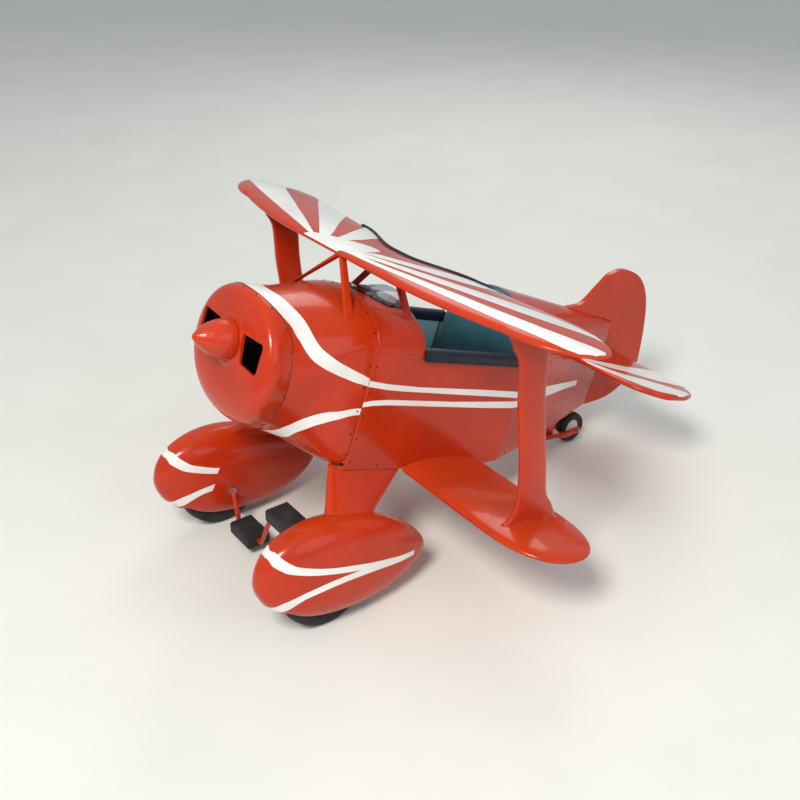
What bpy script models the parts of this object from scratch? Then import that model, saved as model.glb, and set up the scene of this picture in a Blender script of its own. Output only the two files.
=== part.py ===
"""Pedal-driven ride-on biplane for a small child: taildragger with spatted main wheels.

Frame: metres, +Z up, ground at z = 0, nose towards -Y, the aircraft's left side at +X.
Fuselage pieces are drawn in the fuselage's own frame (x, station, height): station 0 is the
spinner's tip, height 0 is the cockpit's side edge.  It stands tail-down on its three wheels.
"""
import math

import bmesh
import bpy
from mathutils import Vector

# ---------------------------------------------------------------- driving dimensions
GAP = 0.0003                       # clearance kept between neighbouring solids
FRAME_SHIFT = 0.0101               # moves the whole part so that its box is centred on y = 0
FUSELAGE_PITCH = math.radians(19.3)
FUSELAGE_ORIGIN = Vector((0.0, -0.616, 0.628))
WING_PITCH = math.radians(12.3)
TOP_WING_ORIGIN = Vector((0.0, -0.307, 0.6751))
LOWER_WING_ORIGIN = Vector((0.0, -0.2565, 0.2295))

SPINNER_LENGTH = 0.0763
SPINNER_RADIUS = 0.0395
SPINNER_HEIGHT = -0.0447
BOWL_FRONT = 0.080
COWL_SEAM = 0.1417
BODY_SEAM = 0.3175
COCKPIT_FRONT = 0.4395
COCKPIT_REAR = 0.745
TAIL_POST = 1.160
STABILIZER_HEIGHT = -0.0083
BODY_HALF_WIDTH = 0.150
DECK_RISE_FRONT = 0.082            # forward deck above the side edges, at its two ends
DECK_RISE_REAR = 0.075
BODY_BOTTOM = -0.2543
SCREEN_FRONT = 0.335
SCREEN_HALF_WIDTH = 0.070
PANEL = 0.006                      # side panel thickness
SKIN = 0.005                       # moulded skin thickness

TOP_HALF_SPAN = 0.586
TOP_TIP_START = 0.44
CUTOUT_HALF_WIDTH = 0.19
CUTOUT_DEPTH = 0.046
LOWER_HALF_SPAN = 0.570
LOWER_TIP_START = 0.42
WING_THICKNESS = 0.13              # of the chord
STRUT_X = 0.431

WHEEL_X = 0.218
AXLE = Vector((0.0, -0.500, 0.100))
WHEEL_RADIUS = 0.100
TIRE_WIDTH = 0.045
ROD_RADIUS = 0.0055
CRANK_THROW = 0.065
PIN_INNER = 0.035
PIN_OUTER = 0.135
PANT_HALF_WIDTH = 0.056
PANT_NOSE = 0.165                  # lengths ahead of and behind the pant's widest station
PANT_TAIL = 0.245
PANT_TOP = 0.106
PANT_BOTTOM = 0.107
PANT_POWER = 2.7                   # squareness of the pant's section
PANT_ORIGIN = Vector((WHEEL_X, -0.4907, 0.1336))

TAIL_AXLE = Vector((0.0, 0.395, 0.040))
TAIL_WHEEL_RADIUS = 0.040
KINGPIN_Y = 0.325
HORN_EYE_Y = 0.270
TUBE_HEIGHT = -0.215               # steering tube's axis, fuselage frame
TUBE_RADIUS = 0.007
STICK_STATION = 0.500
ARM_STATION = 0.805
ARM_LENGTH = 0.098

RED = ("paint_red", (0.56, 0.045, 0.012), 0.28, 0.0)
BLACK = ("rubber_black", (0.02, 0.02, 0.022), 0.75, 0.0)
NAVY = ("padding_navy", (0.012, 0.016, 0.035), 0.55, 0.0)
TEAL = ("upholstery_teal", (0.03, 0.19, 0.21), 0.6, 0.0)
WOOD = ("plywood", (0.42, 0.27, 0.14), 0.6, 0.0)
STEEL = ("steel", (0.45, 0.45, 0.46), 0.35, 1.0)
CLEAR = ("clear_plastic", (0.75, 0.72, 0.62), 0.15, 0.0)
WHITE = ("rim_white", (0.75, 0.74, 0.70), 0.4, 0.0)


# ---------------------------------------------------------------- scene and mesh helpers
def clear_scene():
    for item in list(bpy.data.objects):
        bpy.data.objects.remove(item, do_unlink=True)


def material(finish):
    """One Principled material for each finish, shared by the pieces that have it."""
    name, colour, roughness, metallic = finish
    found = bpy.data.materials.get(name)
    if found:
        return found
    made = bpy.data.materials.new(name)
    made.use_nodes = True
    shader = made.node_tree.nodes["Principled BSDF"]
    shader.inputs["Base Color"].default_value = (*colour, 1.0)
    shader.inputs["Roughness"].default_value = roughness
    shader.inputs["Metallic"].default_value = metallic
    return made


def empty(name, location, pitch=0.0):
    """A frame whose y axis points aft and, with a pitch, down towards the tail."""
    frame = bpy.data.objects.new(name, None)
    frame.location = location
    frame.rotation_euler = (-pitch, 0.0, 0.0)
    bpy.context.collection.objects.link(frame)
    return frame


def add_object(name, bm, finish, parent=None, sharp=35.0):
    bmesh.ops.recalc_face_normals(bm, faces=bm.faces[:])
    mesh = bpy.data.meshes.new(name)
    bm.to_mesh(mesh)
    bm.free()
    mesh.shade_smooth()
    mesh.set_sharp_from_angle(angle=math.radians(sharp))
    piece = bpy.data.objects.new(name, mesh)
    piece.data.materials.append(material(finish))
    piece.parent = parent
    bpy.context.collection.objects.link(piece)
    return piece


def strip_cap(bm, row):
    """Close a long ring with faces across its width, so that the cap follows its curve."""
    count = len(row)
    for i in range(count // 2):
        corners = (row[i], row[i + 1], row[count - i - 1], row[(count - i) % count])
        bm.faces.new(list(dict.fromkeys(corners)))


def loft(rings, closed=False, strips=False):
    """Skin a row of rings that all have the same number of points; cap the two ends."""
    bm = bmesh.new()
    rows = [[bm.verts.new(point) for point in ring] for ring in rings]
    count = len(rows[0])
    pairs = list(zip(rows, rows[1:]))
    if closed:
        pairs.append((rows[-1], rows[0]))
    for first, second in pairs:
        for i in range(count):
            j = (i + 1) % count
            bm.faces.new((first[i], first[j], second[j], second[i]))
    for row in () if closed else (rows[0], rows[-1]):
        if strips:
            strip_cap(bm, row)
        else:
            bm.faces.new(row)
    return bm


def circle(centre, radius, count, axis="X"):
    """Points of a circle about a line parallel to one of the frame's axes."""
    points = []
    for i in range(count):
        turn = 2 * math.pi * i / count
        u, v = radius * math.cos(turn), radius * math.sin(turn)
        offset = {"X": (0, u, v), "Y": (u, 0, v), "Z": (u, v, 0)}[axis]
        points.append(Vector(centre) + Vector(offset))
    return points


def turned(profile, centre, count, axis="X"):
    """A ring turned about an axis: the profile is a closed loop of (along, radius)."""
    step = {"X": Vector((1, 0, 0)), "Y": Vector((0, 1, 0)), "Z": Vector((0, 0, 1))}[axis]
    rings = [circle(Vector(centre) + step * along, radius, count, axis) for along, radius in profile]
    return loft(rings, closed=True)


def rod(points, radius, sides):
    """A round rod swept along a path; its section turns with the path in the YZ or XZ plane."""
    points = [Vector(p) for p in points]
    rings = []
    normal = None
    for i, point in enumerate(points):
        ahead = points[min(i + 1, len(points) - 1)] - point
        behind = point - points[max(i - 1, 0)]
        tangent = (ahead.normalized() + behind.normalized()).normalized()
        if normal is None:
            start = Vector((0, 1, 0)) if abs(tangent.y) < 0.7 else Vector((1, 0, 0))
            normal = start - tangent * start.dot(tangent)
        normal = (normal - tangent * normal.dot(tangent)).normalized()
        side = tangent.cross(normal)
        rings.append([point + radius * (normal * math.cos(a) + side * math.sin(a))
                      for a in (2 * math.pi * k / sides for k in range(sides))])
    return loft(rings)


def filleted(corners, radius, steps=3):
    """A path through the corners with each inner corner rounded off."""
    corners = [Vector(c) for c in corners]
    path = [corners[0]]
    for before, corner, after in zip(corners, corners[1:], corners[2:]):
        back = (before - corner).normalized()
        forth = (after - corner).normalized()
        start, end = corner + back * radius, corner + forth * radius
        for k in range(steps + 1):
            t = k / steps
            path.append(start * (1 - t) ** 2 + corner * 2 * t * (1 - t) + end * t ** 2)
    path.append(corners[-1])
    return path


def plate(outline, thickness, to_point):
    """An outline of (u, v) given thickness: to_point places (u, v, offset) in the frame."""
    rings = [[to_point(u, v, side * thickness / 2) for u, v in outline] for side in (-1, 1)]
    return loft(rings)


def combine(piece, operation, name, bm, parent):
    """Apply a closed shape to a piece with a Boolean."""
    tool = add_object(name, bm, STEEL, parent)
    tool.hide_render = True
    tool.display_type = "WIRE"
    modifier = piece.modifiers.new(name, "BOOLEAN")
    modifier.operation = operation
    modifier.solver = "EXACT"
    modifier.object = tool


def cut(piece, name, bm, parent=None):
    combine(piece, "DIFFERENCE", name, bm, parent)


def weld(piece, name, bm, parent=None):
    combine(piece, "UNION", name, bm, parent)


def block(low, high):
    """A closed box between two corners."""
    (x0, y0, z0), (x1, y1, z1) = low, high
    square = [(x0, z0), (x1, z0), (x1, z1), (x0, z1)]
    return loft([[(x, y, z) for x, z in square] for y in (y0, y1)])


def cylinder(start, end, radius, sides):
    return rod([start, end], radius, sides)


# ---------------------------------------------------------------- shape rules
def signed_power(value, power):
    return math.copysign(abs(value) ** power, value)


def lerp(a, b, t):
    return a + (b - a) * t


def smooth(t):
    t = min(max(t, 0.0), 1.0)
    return t * t * (3 - 2 * t)


def side_half_width(station):
    """Half width of the slab sides: parallel at the cockpit, tapering to the tail post."""
    t = max(0.0, (station - COCKPIT_REAR) / (TAIL_POST - COCKPIT_REAR))
    return lerp(BODY_HALF_WIDTH, 0.014, t)


def side_bottom(station):
    """Height of the fuselage's lower edge, which sweeps up towards the tail."""
    t = max(0.0, (station - 0.62) / (TAIL_POST - 0.62))
    return lerp(BODY_BOTTOM, -0.150, t ** 1.35)


def deck_rise(station):
    """Height of the rounded deck ahead of the cockpit."""
    along = (station - BODY_SEAM) / (COCKPIT_FRONT - BODY_SEAM)
    return lerp(DECK_RISE_FRONT, DECK_RISE_REAR, along)


def ridge(station):
    """Height of the turtledeck's ridge behind the cockpit."""
    return lerp(0.1207, 0.074, (station - COCKPIT_REAR) / (TAIL_POST - COCKPIT_REAR))


def nose_section(station):
    """Half width, centre height, rise, drop and the two exponents of the nose's section."""
    t = smooth((station - COWL_SEAM) / (BODY_SEAM - COWL_SEAM))
    return (lerp(0.1363, BODY_HALF_WIDTH, t), lerp(-0.0761, 0.0, t), lerp(0.1385, DECK_RISE_FRONT, t),
            lerp(0.1385, -BODY_BOTTOM, t), 1 / lerp(0.465, 0.5, t), 1 / lerp(0.465, 0.085, t))


def nose_ring(station, inset=0.0, count=28, scale=1.0):
    half, centre, rise, drop, top_power, low_power = nose_section(station)
    ring = []
    for i in range(count):
        turn = 2 * math.pi * i / count
        c, s = math.cos(turn), math.sin(turn)
        power = top_power if s >= 0 else low_power
        height = (rise if s >= 0 else drop) * scale - inset
        ring.append(Vector(((half * scale - inset) * signed_power(c, 2 / power), station,
                            centre + height * signed_power(s, 2 / power))))
    return ring


def nose_bottom(station, x):
    """Height of the fuselage's underside at a point, ahead of or behind the body seam."""
    if station >= BODY_SEAM:
        return BODY_BOTTOM
    half, centre, _, drop, _, power = nose_section(station)
    return centre - drop * max(0.0, 1 - abs(x / half) ** power) ** (1 / power)


def deck_height(station, x):
    """Height of the body's upper surface ahead of the cockpit."""
    if station >= BODY_SEAM:
        return deck_rise(station) * math.sqrt(max(0.0, 1 - (x / BODY_HALF_WIDTH) ** 2))
    half, centre, rise, _, power, _ = nose_section(station)
    return centre + rise * max(0.0, 1 - abs(x / half) ** power) ** (1 / power)


def arch(station, half, rise, thickness, count, base=GAP):
    """A thick half-round arch standing on height 0: outer curve out, inner curve back."""
    turns = [math.pi * i / count for i in range(count + 1)]
    outer = [Vector((half * math.cos(a), station, base + rise * math.sin(a))) for a in turns]
    inner = [Vector(((half - thickness) * math.cos(a), station,
                     base + (rise - thickness) * math.sin(a))) for a in reversed(turns)]
    return outer + inner


def aerofoil(u):
    """Half thickness of a symmetric section of unit chord and unit thickness."""
    return 5 * (0.2969 * math.sqrt(u) - 0.126 * u - 0.3516 * u ** 2 + 0.2843 * u ** 3
                - 0.1015 * u ** 4)


def wing_surface(chord, u, side):
    """Height of the wing's upper (1) or lower (-1) surface at a fraction of the chord."""
    camber = 0.02 * chord * 4 * u * (1 - u)
    lower = 0.62 if side < 0 else 1.0
    return camber + side * lower * WING_THICKNESS * chord * aerofoil(u) + side * 0.0008


def tip_edges(x, start, end, lead, trail, power=2.2, rake=0.0):
    """Leading and trailing edge with the tip closed as a rounded end, raked aft if asked."""
    if x <= start:
        return lead, trail
    t = min((x - start) / (end - start), 1.0)
    half = (trail - lead) / 2 * max(1 - t ** power, 0.004) ** (1 / power)
    middle = (lead + trail) / 2 + rake * t * t
    return middle - half, middle + half


def top_wing_edges(x):
    """Leading and trailing edge of the top wing at a distance from the centre line."""
    x = abs(x)
    inner = min(x, TOP_TIP_START)
    lead = 0.53 * max(0.0, inner - 0.15) ** 2
    trail = 0.198 + 0.125 * max(0.0, inner - CUTOUT_HALF_WIDTH)
    trail -= CUTOUT_DEPTH * (1 - smooth((x - 0.02) / (CUTOUT_HALF_WIDTH - 0.02)))
    return tip_edges(x, TOP_TIP_START, TOP_HALF_SPAN, lead, trail, 1.9, 0.010)


def lower_wing_edges(x):
    return tip_edges(abs(x), LOWER_TIP_START, LOWER_HALF_SPAN, 0.0, 0.206)


def wing_ring(x, edges):
    lead, trail = edges(x)
    chord = trail - lead
    upper = [0.5 - 0.5 * math.cos(math.pi * k / 8) for k in range(8, -1, -1)]
    lower = [0.5 - 0.5 * math.cos(math.pi * k / 6) for k in range(1, 7)]
    ring = [(x, lead + chord * u, wing_surface(chord, u, 1)) for u in upper]
    return ring + [(x, lead + chord * u, wing_surface(chord, u, -1)) for u in lower]


def pitched(origin, pitch, x, along, up):
    """A point given in a pitched frame, in the part's frame."""
    c, s = math.cos(pitch), math.sin(pitch)
    return Vector((x, origin.y + along * c + up * s, origin.z - along * s + up * c))


def fuselage_point(x, station, height):
    return pitched(FUSELAGE_ORIGIN, FUSELAGE_PITCH, x, station, height)


def wing_point(origin, edges, x, along, side, clearance):
    """A point of the part's frame on a wing's surface, with a clearance off it."""
    lead, trail = edges(x)
    chord = trail - lead
    height = wing_surface(chord, (along - lead) / chord, side) + side * clearance
    return pitched(origin, WING_PITCH, x, along, height)


def pant_profile(along):
    """The pant's size at a station, as a fraction of its greatest, from nose to tail."""
    if along < 0:
        return math.sqrt(max(0.0, 1 - (along / PANT_NOSE) ** 2))
    return max(0.0, 1 - (along / PANT_TAIL) ** 2) ** 0.65


def pant_ring(along, inset=0.0, count=18):
    size = pant_profile(along)
    width = PANT_HALF_WIDTH * (0.10 + 0.90 * size) if along > 0 else PANT_HALF_WIDTH * size
    ring = []
    for i in range(count):
        turn = 2 * math.pi * i / count
        c, s = math.cos(turn), math.sin(turn)
        height = (PANT_TOP if s >= 0 else PANT_BOTTOM) * size
        ring.append(Vector(((width - inset) * signed_power(c, 2 / PANT_POWER), along,
                            (height - inset) * signed_power(s, 2 / PANT_POWER))))
    return ring


def pant_top(x, along):
    """Height of the pant's upper surface above its own axis."""
    size = pant_profile(along)
    width = PANT_HALF_WIDTH * (0.10 + 0.90 * size)
    return PANT_TOP * size * max(0.0, 1 - abs(x / width) ** PANT_POWER) ** (1 / PANT_POWER)


# ---------------------------------------------------------------- nose
def bowl_ring(scale, inset):
    """A section of the nose bowl: slightly swollen behind the rounded edge, flat across the face."""
    reach = (1 - scale ** 8) ** 0.21
    half, centre = nose_section(COWL_SEAM)[:2]
    lift = (1 - scale) * (SPINNER_HEIGHT - centre)
    shrink = 1 - inset / (half * scale)
    station = COWL_SEAM - 0.0005 - (COWL_SEAM - 0.0005 - BOWL_FRONT - inset) * reach
    ring = []
    for p in nose_ring(COWL_SEAM, scale=scale):
        height = p.z - centre
        height *= 1 - 0.16 * reach if height < 0 else 1.0
        wide = p.x * (1 + 0.09 * reach) * shrink
        ring.append(Vector((wide, station, centre + lift + height * shrink)))
    return ring


def make_cowl(fuselage):
    """Nose bowl: one moulded skin from the seam round to the shaft hole and back inside."""
    rings = []
    for side in (0, 1):
        inset = SKIN * side
        wall = [bowl_ring(scale, inset) for scale in (1, 0.997, 0.985, 0.96, 0.92, 0.85, 0.7, 0.5)]
        boss = SPINNER_RADIUS + 0.009 - inset
        for radius, forward in ((boss, -0.0005), (boss - 0.005, -0.0014), (0.0088, -0.0014)):
            wall.append([Vector((p.x, BOWL_FRONT + inset + forward, p.z)) for p in
                         circle((0, 0, SPINNER_HEIGHT), radius, 28, "Y")])
        rings += wall if side == 0 else wall[::-1]
    bowl = add_object("cowl_bowl", loft(rings, closed=True), RED, fuselage)
    for side, name in ((1, "left"), (-1, "right")):
        corners = [(0.044, 0.028), (0.109, 0.030), (0.1135, 0.022), (0.112, -0.027),
                   (0.106, -0.033), (0.052, -0.029)]
        outline = [(side * x, SPINNER_HEIGHT + z) for x, z in corners]
        hole = plate(outline, 0.10, lambda u, v, w: (u, 0.105 + w, v))
        cut(bowl, "intake_cutter_" + name, hole, fuselage)


def make_spinner(fuselage):
    steps = 9
    rings = []
    for k in range(steps + 1):
        u = 0.004 + 0.996 * k / steps
        radius = SPINNER_RADIUS * math.sin(math.pi / 2 * u ** 0.78)
        rings.append(circle((0, SPINNER_LENGTH * u, SPINNER_HEIGHT), radius, 20, "Y"))
    add_object("spinner", loft(rings), RED, fuselage)
    start, end = SPINNER_LENGTH + GAP, 0.186
    shaft = [(start, 0.0055), (0.168, 0.0055), (0.168, 0.0095), (end, 0.0095)]
    rings = [circle((0, y, SPINNER_HEIGHT), r, 12, "Y") for y, r in shaft]
    add_object("spinner_shaft", loft(rings), STEEL, fuselage)


def make_nose(fuselage):
    stations = [COWL_SEAM, 0.152, 0.168, 0.19, 0.215, 0.24, 0.265, 0.29, BODY_SEAM - GAP]
    outer = [nose_ring(s) for s in stations]
    inner = [nose_ring(s, SKIN) for s in reversed(stations)]
    add_object("nose_shell", loft(outer + inner, closed=True), RED, fuselage)
    wall = add_object("firewall", loft([nose_ring(s, SKIN + 0.0015) for s in (0.155, 0.163)]),
                      WOOD, fuselage)
    hole = cylinder((0, 0.14, SPINNER_HEIGHT), (0, 0.18, SPINNER_HEIGHT), 0.0062, 16)
    cut(wall, "shaft_hole_cutter", hole, fuselage)


# ---------------------------------------------------------------- fuselage
def make_sides(fuselage):
    stations = [BODY_SEAM, 0.46, 0.62, 0.70, COCKPIT_REAR, 0.82, 0.90, 0.98, 1.06, TAIL_POST]
    for side, name in ((1, "left"), (-1, "right")):
        rings = []
        for s in stations:
            outer, low = side_half_width(s), side_bottom(s)
            square = [(outer, low), (outer, 0), (outer - PANEL, 0), (outer - PANEL, low)]
            rings.append([(side * x, s, z) for x, z in square])
        add_object("side_" + name, loft(rings), RED, fuselage)
        lined = [(0.485, -0.235), (0.743, -0.235), (0.743, -0.0126), (0.442, -0.0126),
                 (0.442, -0.20)]
        x = side * (BODY_HALF_WIDTH - PANEL - 0.0025)
        liner = plate(lined, 0.004, lambda u, v, w: (x + w, u, v))
        add_object("liner_" + name, liner, TEAL, fuselage)


def make_decks(fuselage):
    rings = [arch(s, BODY_HALF_WIDTH, deck_rise(s), SKIN, 18)
             for s in (BODY_SEAM, 0.355, 0.395, COCKPIT_FRONT)]
    add_object("forward_deck", loft(rings), RED, fuselage)
    stations = [COCKPIT_REAR + 0.0073, 0.80, 0.87, 0.94, 1.01, 1.08, TAIL_POST - 0.004]
    rings = [arch(s, side_half_width(s), ridge(s), min(SKIN, side_half_width(s) * 0.45), 14)
             for s in stations]
    add_object("turtledeck", loft(rings), RED, fuselage)
    rings = []
    for s in (0.56, 0.62, 0.70, 0.78, 0.86, 0.94, 1.02, 1.10, TAIL_POST - 0.006):
        half = side_half_width(s) - PANEL - GAP
        low = side_bottom(s)
        rings.append([(x, s, z) for x, z in
                      ((-half, low), (half, low), (half, low + SKIN), (-half, low + SKIN))])
    belly = add_object("belly_pan", loft(rings), RED, fuselage)
    slot = block((-0.02, ARM_STATION - 0.016, -0.27), (0.02, ARM_STATION + 0.016, -0.20))
    cut(belly, "arm_slot_cutter", slot, fuselage)


def former_outline(half, rise, low, count=16):
    """Straight-sided former with a half-round top."""
    top = [(half * math.cos(math.pi * i / count), rise * math.sin(math.pi * i / count))
           for i in range(count + 1)]
    return top + [(-half, low), (half, low)]


def make_formers(fuselage):
    inner = BODY_HALF_WIDTH - PANEL - GAP
    outline = former_outline(inner - 0.0002, deck_rise(COCKPIT_FRONT) - SKIN - 0.001, -0.075)
    board = plate(outline, 0.006, lambda u, v, w: (u, COCKPIT_FRONT - 0.010 + w, v))
    front = add_object("front_former", board, WOOD, fuselage)
    gap = block((-0.11, 0.40, -0.10), (0.11, 0.46, -0.025))
    cut(front, "knee_gap_cutter", gap, fuselage)
    board = plate(former_outline(inner - 0.0030, ridge(COCKPIT_REAR) - 0.0005, -0.1895),
                  0.006, lambda u, v, w: (u, COCKPIT_REAR + 0.0035 + w, v))
    add_object("rear_former", board, WOOD, fuselage)
    beams = [("gear_beam", 0.338, 0.378), ("stick_beam", 0.515, 0.545)]
    for name, start, end in beams:
        beam = block((-inner, start, BODY_BOTTOM + 0.003), (inner, end, BODY_BOTTOM + 0.018))
        add_object(name, beam, WOOD, fuselage)


def make_seat(fuselage):
    half = 0.1385
    pan = block((-half, 0.575, -0.198), (half, COCKPIT_REAR - GAP, -0.190))
    add_object("seat_pan", pan, WOOD, fuselage)
    outline = former_outline(half - 0.0015, 0.112, -0.150)
    pad = plate(outline, 0.020, lambda u, v, w: (u, COCKPIT_REAR - 0.0105 + w, v))
    back = add_object("seat_back_pad", pad, TEAL, fuselage)
    soften(back, 0.006)
    cushion = add_object("seat_cushion", block((-0.134, 0.568, -0.1895), (0.134, 0.7236, -0.1515)),
                         TEAL, fuselage)
    soften(cushion, 0.008)


def soften(piece, width):
    bevel = piece.modifiers.new("soft_edges", "BEVEL")
    bevel.width = width
    bevel.segments = 2
    bevel.limit_method = "ANGLE"
    bevel.angle_limit = math.radians(50)


def make_rails(fuselage):
    """Padded channels pushed down over the cockpit's side edges."""
    inner, outer = BODY_HALF_WIDTH - PANEL - GAP, BODY_HALF_WIDTH + GAP
    middle = BODY_HALF_WIDTH - PANEL / 2
    dome = [(0.0135 * math.cos(a), 0.004 + 0.0125 * math.sin(a))
            for a in (math.pi * k / 6 for k in range(7))]
    section = [(outer, -0.012), (middle + 0.0105, -0.012)]
    section += [(middle + x, z) for x, z in dome]
    section += [(middle - 0.0105, -0.012), (inner, -0.012), (inner, GAP), (outer, GAP)]
    for side, name in ((1, "left"), (-1, "right")):
        rings = [[(side * x, s, z) for x, z in section]
                 for s in (COCKPIT_FRONT + 0.001, COCKPIT_REAR - 0.0215)]
        add_object("cockpit_rail_" + name, loft(rings), NAVY, fuselage)


def screen_station(x):
    """Where the windscreen's front edge runs across the deck."""
    return SCREEN_FRONT + 0.045 * (x / SCREEN_HALF_WIDTH) ** 2


def screen_height(station, x):
    """Height of the windscreen's lower face: on the deck at its edge, raised behind."""
    back = (station - screen_station(x)) / (COCKPIT_FRONT - SCREEN_FRONT)
    lift = 0.014 * smooth(max(back - 0.10, 0.0)) * (1 - 0.9 * (x / SCREEN_HALF_WIDTH) ** 4)
    return deck_height(station, x) + 0.0012 + lift


def make_windscreen(fuselage):
    """A low clear shield bent over the deck between the rear cabane struts."""
    rows, columns = 6, 14
    rings = []
    for i in range(columns + 1):
        x = lerp(-SCREEN_HALF_WIDTH, SCREEN_HALF_WIDTH, i / columns)
        front = screen_station(x)
        stations = [lerp(front, COCKPIT_FRONT - 0.001, k / rows) for k in range(rows + 1)]
        low = [(x, s, screen_height(s, x)) for s in stations]
        high = [(x, s, screen_height(s, x) + 0.002) for s in reversed(stations)]
        rings.append(low + high)
    add_object("windscreen", loft(rings), CLEAR, fuselage)


# ---------------------------------------------------------------- tail
def fin_outline():
    """Side view of the fin and rudder, from the foot of the fin's leading edge round aft."""
    ridge_line = [(s, ridge(s) + 0.0012) for s in (TAIL_POST - 0.003, 1.08, 1.00, 0.985)]
    curve = smooth_curve([(0.985, 0.095), (1.035, 0.110), (1.075, 0.158), (1.105, 0.192),
                          (1.155, 0.2067), (1.215, 0.193), (1.262, 0.150), (1.295, 0.080),
                          (1.3185, -0.005), (1.3215, -0.045), (1.300, -0.086), (1.250, -0.128),
                          (1.190, -0.150), (TAIL_POST + 0.004, -0.156)], 2)
    post = [(TAIL_POST + 0.001, -0.150), (TAIL_POST + 0.001, ridge(TAIL_POST))]
    return curve + post + ridge_line


def smooth_curve(points, steps):
    """A Catmull-Rom curve through the points."""
    padded = [points[0]] + list(points) + [points[-1]]
    curve = []
    for a, b, c, d in zip(padded, padded[1:], padded[2:], padded[3:]):
        for k in range(steps):
            t = k / steps
            curve.append(tuple(0.5 * (2 * q + (r - p) * t + (2 * p - 5 * q + 4 * r - s) * t ** 2
                                      + (3 * q - p - 3 * r + s) * t ** 3)
                               for p, q, r, s in zip(a, b, c, d)))
    curve.append(tuple(points[-1]))
    return curve


def make_tail(fuselage):
    fin = plate(fin_outline(), 0.015, lambda u, v, w: (w, u, v))
    add_object("fin_rudder", fin, RED, fuselage)
    for side, name in ((1, "left"), (-1, "right")):
        rings = [stabilizer_ring(side, k) for k in range(13)]
        add_object("stabilizer_" + name, loft(rings), RED, fuselage)


def stabilizer_ring(side, k):
    """The k-th section of a tailplane half, kept clear of the fuselage's side and the rudder."""
    x = lerp(0.002, 0.3178, 1 - (1 - k / 12) ** 1.5)
    lead, trail = tip_edges(x, 0.20, 0.3190, 0.9775 + 0.02 * x, 1.2225 - 0.05 * x)
    chord = trail - lead
    half = 0.0075 * min(1.0, chord / 0.06)
    section = [(0.0, 0.15), (0.03, 0.8), (0.12, 1.0), (0.745, 1.0), (0.92, 0.7), (1.0, 0.15)]
    section += [(u, -v) for u, v in reversed(section)]
    ring = []
    for u, v in section:
        station = lead + chord * u
        limit = side_half_width(station) + 0.0012 if station < TAIL_POST + 0.003 else 0.009
        ring.append((side * max(x, limit + 0.0004 * k), station, STABILIZER_HEIGHT + half * v))
    return ring


# ---------------------------------------------------------------- wings and struts
def make_wings():
    top = empty("top_wing_frame", TOP_WING_ORIGIN, WING_PITCH)
    low = empty("lower_wing_frame", LOWER_WING_ORIGIN, WING_PITCH)
    half = [0.0, 0.05, 0.09, 0.115, 0.14, 0.165, CUTOUT_HALF_WIDTH, 0.26, 0.33, 0.39]
    tip = [lerp(TOP_TIP_START, TOP_HALF_SPAN, math.sin(math.pi / 2 * k / 7)) for k in range(8)]
    side = half[1:] + tip
    stations = [-x for x in reversed(side)] + [0.0] + side
    add_object("top_wing", loft([wing_ring(x, top_wing_edges) for x in stations]), RED, top)
    path = []
    for k in range(21):
        x = lerp(-0.205, 0.235, k / 20)
        slope = (top_wing_edges(x + 0.001)[1] - top_wing_edges(x - 0.001)[1]) / 0.002
        path.append((x, top_wing_edges(x)[1] + 0.0055 * math.hypot(1.0, slope), 0.001))
    add_object("top_wing_trim", rod(path, 0.0037, 8), NAVY, top)
    tip = [lerp(LOWER_TIP_START, LOWER_HALF_SPAN, math.sin(math.pi / 2 * k / 7)) for k in range(8)]
    for sign, name in ((1, "left"), (-1, "right")):
        stations = [BODY_HALF_WIDTH + 0.0006, 0.24, 0.33] + tip
        rings = [wing_ring(sign * x, lower_wing_edges) for x in stations]
        add_object("lower_wing_" + name, loft(rings), RED, low)


def oval(centre_x, front, rear, half, count=14):
    """A strut's flat oval section as (x, y) points: round ends and nearly flat sides."""
    points = []
    for i in range(count):
        turn = 2 * math.pi * i / count
        y = (front + rear) / 2 - (rear - front) / 2 * signed_power(math.cos(turn), 0.8)
        points.append((centre_x + half * signed_power(math.sin(turn), 0.6), y))
    return points


def on_top_wing(x, y, side, clearance):
    """The point of the top wing's surface above or below a place on the ground."""
    along = (y - TOP_WING_ORIGIN.y) / math.cos(WING_PITCH)
    return wing_point(TOP_WING_ORIGIN, top_wing_edges, x, along, side, clearance)


def make_interplane_struts():
    """One wide strut a side, flared where it meets each wing."""
    levels = [(0.245, -0.205, -0.099), (0.275, -0.191, -0.114), (0.34, -0.188, -0.121),
              (0.50, -0.203, -0.138), (0.580, -0.207, -0.137), (0.612, -0.221, -0.125)]
    for side, name in ((1, "left"), (-1, "right")):
        x = side * STRUT_X
        foot, head = [], []
        for px, y in oval(x, -0.231, -0.079, 0.008):
            along = (y - LOWER_WING_ORIGIN.y) / math.cos(WING_PITCH)
            foot.append(wing_point(LOWER_WING_ORIGIN, lower_wing_edges, px, along, 1, 0.0012))
        for px, y in oval(x, -0.239, -0.101, 0.008):
            head.append(on_top_wing(px, y, -1, 0.0012))
        rings = [foot]
        rings += [[(px, py, z) for px, py in oval(x, a, b, 0.008)] for z, a, b in levels]
        add_object("interplane_strut_" + name, loft(rings + [head], strips=True), RED)


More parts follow.
